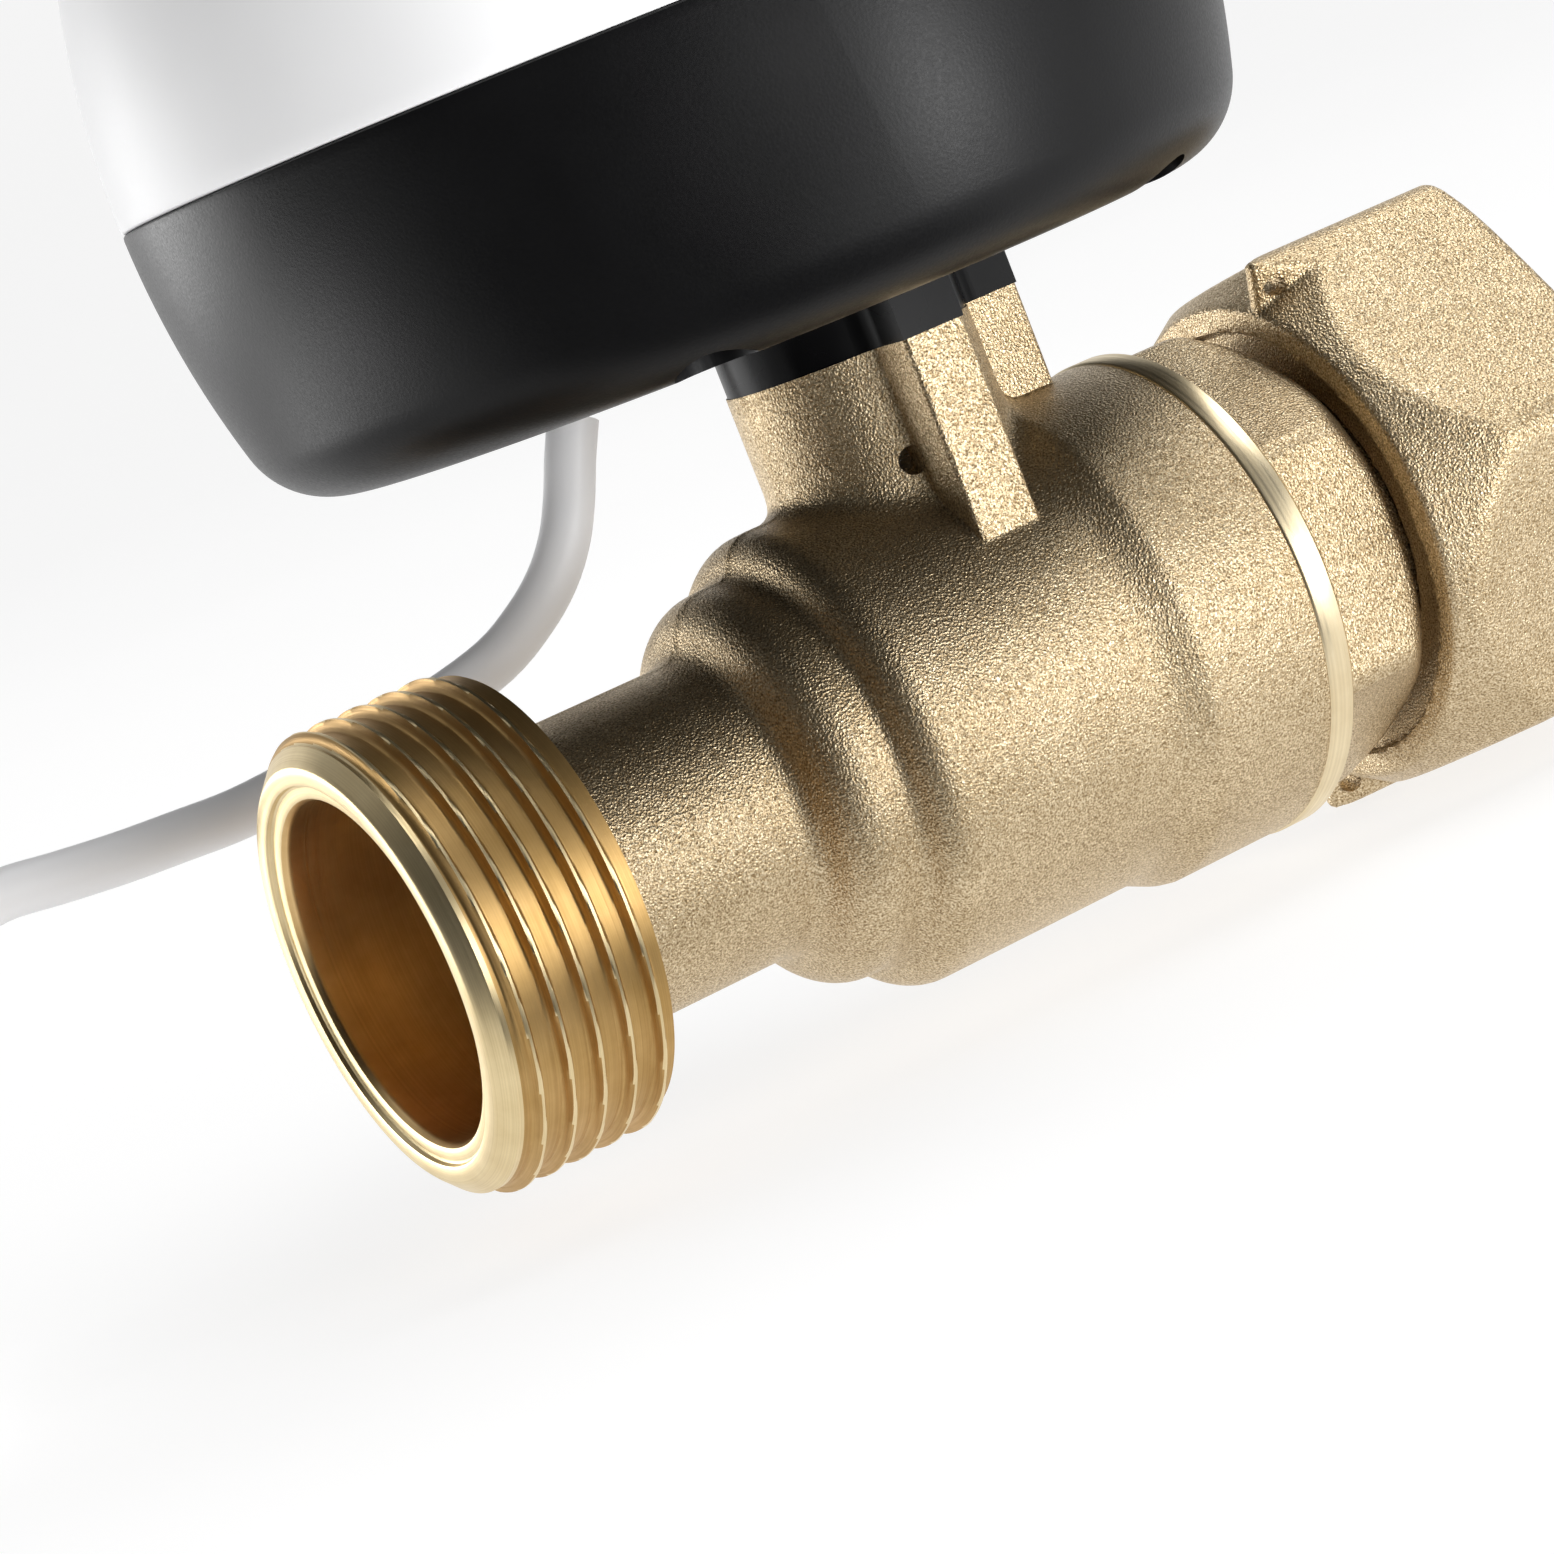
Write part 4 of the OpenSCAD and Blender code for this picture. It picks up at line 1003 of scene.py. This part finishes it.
def base_shell():
    centre, meet = edge_round(COLLAR_TOP + FLOOR_ROUND, FLOOR_ROUND)
    outer = [(0, COLLAR_TOP)] + arc(centre, FLOOR_ROUND, -90, meet, 20)
    outer += barrel_side(outer[-1][1], SEAM_Z - SEAM_EDGE_H, 26)[1:]
    outer += [(SEAM_R - inset, SEAM_Z - rise) for inset, rise in SEAM_EDGE[::-1]]
    inner = [(SEAM_R - WALL, SEAM_Z - SEAM_EDGE[0][1])] + barrel_side(SEAM_Z - 0.1, 36.0, 12, WALL)
    inner += arc(centre, FLOOR_ROUND - WALL, meet, -90, 8) + [(0, COLLAR_TOP + WALL)]
    mesh = turned("base_shell", outer + inner, segments=256, centre=(HOUSING_X, 0, 0))
    below, above = 20, 33
    cutters = [rod("spigot_hole", SPIGOT_R + 0.1, below, above, segments=64, centre=(STEM_X, 0, 0)),
               rod("cable_hole", GROMMET_R, below, above, segments=48, centre=(*LEAD_ROUTE[0][:2], 0))]
    cutters += [rod("recess", RECESS_R, below, HEAD_TOP, segments=48, centre=at) for at in screw_places()]
    mesh = cut_away(mesh, cutters)
    piece = new_piece("base_shell", mesh, BLACK, smooth_angle=35)
    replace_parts(piece, "base_housing")


def boss(at, hole_r, r, low, high):
    """Round boss with a hole and eased top edges."""
    outline = [(hole_r, low), (r, low), (r, high - 0.3), (r - 0.3, high),
               (hole_r + 0.2, high), (hole_r, high - 0.2)]
    return turned("boss", outline, segments=40, centre=at)


def base_bosses():
    """Screw bosses, posts and axle boss that stand inside the base."""
    bosses = [boss(at, hole_r=1.7, r=4.35, low=33.2, high=BOSS_TOP) for at in screw_places()]
    for x, y in PLATE_POSTS:
        bosses.append(boss((HOUSING_X + x, y, 0), hole_r=1.0, r=2.6, low=INNER_FLOOR, high=BOSS_TOP + 0.6))
    bosses.append(boss((AXLE_X, 0, 0), hole_r=1.51, r=3.2, low=INNER_FLOOR, high=36.6))
    piece = new_piece("base_bosses", joined("base_bosses", bosses), BLACK)
    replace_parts(piece, "base_housing")


def white_shell():
    centre, meet = edge_round(SHELL_TOP - TOP_ROUND, TOP_ROUND)
    bend = arc(centre, TOP_ROUND, meet, 90, 24)
    outer = [(LIP_R, LIP_LOW), (LIP_R, SEAM_Z + SEAM_EDGE[0][1])]
    outer += [(SEAM_R - inset, SEAM_Z + rise) for inset, rise in SEAM_EDGE]
    outer += barrel_side(SEAM_Z + SEAM_EDGE_H, bend[0][1], 30) + bend[1:] + [(0, SHELL_TOP)]
    inner = [(0, SHELL_TOP - WALL)] + arc(centre, TOP_ROUND - WALL, 90, meet, 10)
    inner += barrel_side(72.0, SEAM_Z + 1.2, 12, WALL)
    inner += [(LIP_R - LIP_WALL, SEAM_Z + 1.0), (LIP_R - LIP_WALL, LIP_LOW)]
    mesh = turned("white_shell", outer + inner, segments=256, centre=(HOUSING_X, 0, 0))
    piece = new_piece("white_shell", mesh, WHITE, smooth_angle=35)
    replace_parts(piece, "upper_shell")


def shell_posts():
    """Posts in the upper shell that take the housing screws."""
    outline = [(1.5, BOSS_TOP), (3.9, BOSS_TOP), (4.2, BOSS_TOP + 0.3), (4.0, POST_TOP), (1.5, POST_TOP)]
    mesh = joined("shell_posts", [turned("post", outline, segments=40, centre=at) for at in screw_places()])
    piece = new_piece("shell_posts", mesh, WHITE)
    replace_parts(piece, "upper_shell")


def screw_shape():
    """One housing screw, head down, with a cross recess and a ridged shank."""
    ridges, ridge_step = 24, 0.72
    outline = [(0, SCREW_LOW), (1.9, SCREW_LOW), (2.45, SCREW_LOW + 0.25), (SCREW_HEAD_R, SCREW_LOW + 0.7),
               (SCREW_HEAD_R, HEAD_TOP), (1.3, HEAD_TOP)]
    for k in range(ridges):
        z = HEAD_TOP + 0.5 + k * ridge_step
        outline += [(1.22, z), (1.46, z + ridge_step / 2)]
    outline += [(0.5, SCREW_TIP), (0, SCREW_TIP)]
    slots = []
    for size in ((0.55, 2.7, 2.2), (2.7, 0.55, 2.2)):
        bm = bmesh.new()
        add_block(bm, size, (0, 0, SCREW_LOW))
        slots.append(mesh_of(bm, "slot"))
    return cut_away(turned("screw", outline, segments=32), slots)


def screws():
    shape = placed("screw_shape", screw_shape())
    points = mesh_from("screw_places", screw_places(), [])
    mesh = grown("screws", points, PUT_COPIES, {"Piece": shape, "Material": STEEL})
    bpy.data.objects.remove(shape)
    piece = new_piece("screws", mesh, STEEL, smooth_angle=35)
    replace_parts(piece, "housing_screws")


# Cable pieces
def curve_through(points, steps):
    """Points of a smooth curve through the given points."""
    p = np.array(points, float)
    p = np.vstack([2 * p[0] - p[1], p, 2 * p[-1] - p[-2]])
    out = []
    for i in range(1, len(p) - 2):
        a, b, c, d = p[i - 1:i + 3]
        slope, bend, twist = c - a, 2 * a - 5 * b + 4 * c - d, 3 * b - a - 3 * c + d
        for t in np.arange(steps) / steps:
            out.append(0.5 * (2 * b + slope * t + bend * t ** 2 + twist * t ** 3))
    return np.array(out + [p[-2]])


def coil_points():
    """Middle line of the coil: inwards in a low layer, then outwards in a second one above it."""
    u = np.arange(int(COIL_TURNS * COIL_STEPS) + 1) / COIL_STEPS
    r = COIL_R - COIL_STEP * np.minimum(u, COIL_TURNS - u)
    a = np.radians(COIL_START - 360 * u)
    t = np.clip((u - COIL_TURNS / 2) * 2 + 0.5, 0, 1)
    z = CABLE_LOW + COIL_STEP * t * t * (3 - 2 * t)
    return np.column_stack([COIL_CENTRE[0] + r * np.cos(a), COIL_CENTRE[1] + r * np.sin(a), z])


def cable_route():
    lead, coil = curve_through(LEAD_ROUTE, LEAD_STEPS), coil_points()
    out = coil[-1] - coil[-2]
    out /= np.linalg.norm(out)
    return np.vstack([lead, coil, coil[-1] + np.outer(np.linspace(0, COIL_TAIL, 4)[1:], out)])


def coil_strap():
    """Tie drawn tight round the coil's turns, with its lock and cut end on top."""
    first = COIL_STEPS * (COIL_START - TIE_TURN) // 360
    crossings = coil_points()[first::COIL_STEPS]
    centres = np.column_stack([np.hypot(*(crossings[:, :2] - COIL_CENTRE).T), crossings[:, 2]])
    low, half, e = CABLE_R + TIE_GAP, TIE_W / 2, TIE_EDGE
    high = low + TIE_T
    section = [(low, e - half), (low + e, -half), (high - e, -half), (high, e - half),
               (high, half - e), (high - e, half), (low + e, half), (low, half - e)]
    points = []
    for a in np.arange(TIE_STEPS) * 2 * math.pi / TIE_STEPS:
        way = np.array([math.cos(a), math.sin(a)])
        outermost = centres[np.argmax(centres @ way)]
        for reach, along in section:
            r, z = outermost + reach * way
            points.append((r, along, z))
    strap = mesh_from("strap", points, ring_faces(TIE_STEPS, len(section), closed=True))
    face_outwards(strap)
    bm = bmesh.new()
    bm.from_mesh(strap)
    top = max(z for _, _, z in points)
    for size, shift, lift, edge in (TIE_LOCK, TIE_END):
        corners = add_block(bm, size, (centres[:, 0].mean() + shift, 0, top + lift))
        bmesh.ops.bevel(bm, geom=edges_at(corners), offset=edge * MM, segments=3, profile=0.5, affect="EDGES")
    mesh = mesh_of(bm, "coil_strap")
    mesh.transform(Matrix.Rotation(math.radians(TIE_TURN), 4, "Z"))
    mesh.transform(Matrix.Translation(Vector((*COIL_CENTRE, 0)) * MM))
    piece = new_piece("coil_strap", mesh, BLACK, smooth_angle=35)
    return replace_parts(piece, "coil_tie")


def cable():
    route = cable_route()
    way = np.gradient(route, axis=0)
    way /= np.linalg.norm(way, axis=1)[:, None]
    normal = np.array([0.0, 1.0, 0.0])
    points = []
    for p, t in zip(route, way):
        normal = normal - t * (normal @ t)
        normal /= np.linalg.norm(normal)
        across = np.cross(t, normal)
        for a in np.arange(CABLE_SIDES) * 2 * math.pi / CABLE_SIDES:
            points.append(p + CABLE_R * (math.cos(a) * normal + math.sin(a) * across))
    faces = ring_faces(len(route), CABLE_SIDES, closed=False)
    faces.append(tuple(range(CABLE_SIDES))[::-1])
    faces.append(tuple(range(len(points) - CABLE_SIDES, len(points))))
    mesh = mesh_from("cable", points, faces)
    face_outwards(mesh)
    piece = new_piece("cable", mesh, SHEATH, smooth_angle=60)
    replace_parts(piece, "cable_lead", "cable_coil")
    coil_strap()


# View and studio
def set_camera():
    azimuth, elevation, roll = (math.radians(a) for a in (VIEW_AZIMUTH, VIEW_ELEVATION, VIEW_ROLL))
    level = math.cos(elevation)
    back = Vector((math.sin(azimuth) * level, -math.cos(azimuth) * level, math.sin(elevation)))
    side = (-back).cross(Vector((0, 0, 1))).normalized()
    up = side.cross(-back)
    right = math.cos(roll) * side + math.sin(roll) * up
    top = -math.sin(roll) * side + math.cos(roll) * up
    data = bpy.data.cameras.new("camera")
    data.lens = VIEW_LENS
    data.sensor_width = 36
    data.clip_start = 0.01
    data.clip_end = 20
    camera = placed("camera", data)
    place = Matrix((right, top, back)).transposed().to_4x4()
    place.translation = (Vector(VIEW_AIM) + back * VIEW_DISTANCE) * MM
    camera.matrix_world = place
    bpy.context.scene.camera = camera


def sweep_backdrop():
    """Faintly luminous floor that curves up into a wall behind the valve, square to the view."""
    bend = arc((FLOOR_END, SWEEP_R), SWEEP_R, -90, 0, count=9)
    outline = [(FLOOR_START, 0)] + bend + [(FLOOR_END + SWEEP_R, WALL_TOP)]
    turn = math.radians(-VIEW_AZIMUTH)
    points, faces = [], []
    for along, high in outline:
        for across in (-FLOOR_HALF, FLOOR_HALF):
            x = along * math.sin(turn) + across * math.cos(turn)
            y = along * math.cos(turn) - across * math.sin(turn)
            points.append((x / MM, y / MM, FLOOR_Z + high / MM))
    for i in range(0, len(points) - 2, 2):
        faces.append((i, i + 1, i + 3, i + 2))
    mesh = mesh_from("backdrop", points, faces)
    mesh.polygons.foreach_set("use_smooth", [True] * len(mesh.polygons))
    f = Finish("backdrop_paper")
    f.colour(f.tones(f.noise(3, detail=2), (0.27, 0.27, 0.27), (0.29, 0.29, 0.29)))
    f.fixed(Roughness=0.9, Specular_IOR_Level=0.05, Emission_Color=(1, 1, 1, 1), Emission_Strength=PAPER_GLOW)
    mesh.materials.append(f.material)
    backdrop = placed("backdrop", mesh)


def dark_card():
    """Bent black card in front on the left, seen only by reflections, as the dark side of a room."""
    (x0, y0), (x1, y1) = CARD_ENDS
    points = [(x0, y0, CARD_LOW), (x1, y1, CARD_LOW), (x1, y1, CARD_TOP), (x0, y0, CARD_TOP)]
    points += [(x, y, CARD_LOW) for x, y in CARD_FOOT]
    card = placed("dark_card", mesh_from("dark_card", points, [(0, 1, 2, 3), (0, 1, 4, 5)]))
    f = Finish("card_black")
    f.fixed(Base_Color=(0.01, 0.01, 0.01, 1), Roughness=0.9, Specular_IOR_Level=0.05)
    card.data.materials.append(f.material)
    card.visible_camera = False
    card.visible_diffuse = False
    card.visible_shadow = False
    card.visible_transmission = False


def pale_world():
    """Dim light from all round, with a pale ground where the camera sees past the backdrop."""
    world = bpy.data.worlds.new("studio")
    world.use_nodes = True
    tree = world.node_tree
    background = tree.nodes["Background"]
    background.inputs["Color"].default_value = (1, 1, 1, 1)
    rays = add_node(tree, "ShaderNodeLightPath")
    level = add_node(tree, "ShaderNodeMapRange")
    level.inputs["To Min"].default_value = WORLD_LIGHT
    level.inputs["To Max"].default_value = WORLD_SEEN
    tree.links.new(rays.outputs["Is Camera Ray"], level.inputs["Value"])
    tree.links.new(level.outputs["Result"], background.inputs["Strength"])
    bpy.context.scene.world = world


def lamps():
    for name, place, aim, size, watts, in_reflections in LAMPS:
        light = bpy.data.lights.new(name, "AREA")
        light.shape = "RECTANGLE"
        light.size, light.size_y = size
        light.energy = watts
        lamp = placed(name, light)
        lamp.location = place
        lamp.visible_glossy = in_reflections
        lamp.rotation_euler = (Vector(aim) - Vector(place)).to_track_quat("-Z", "Y").to_euler()


def studio():
    dark_card()
    sweep_backdrop()
    pale_world()
    lamps()
    bpy.context.scene.view_settings.view_transform = "Standard"


set_camera()
cable()
studio()
thread_end()
body_casting()
neck_ribs()
neck_spigot()
turned_band()
tail_hexagon()
nut_casting()
nut_thread()
base_shell()
base_bosses()
white_shell()
shell_posts()
screws()
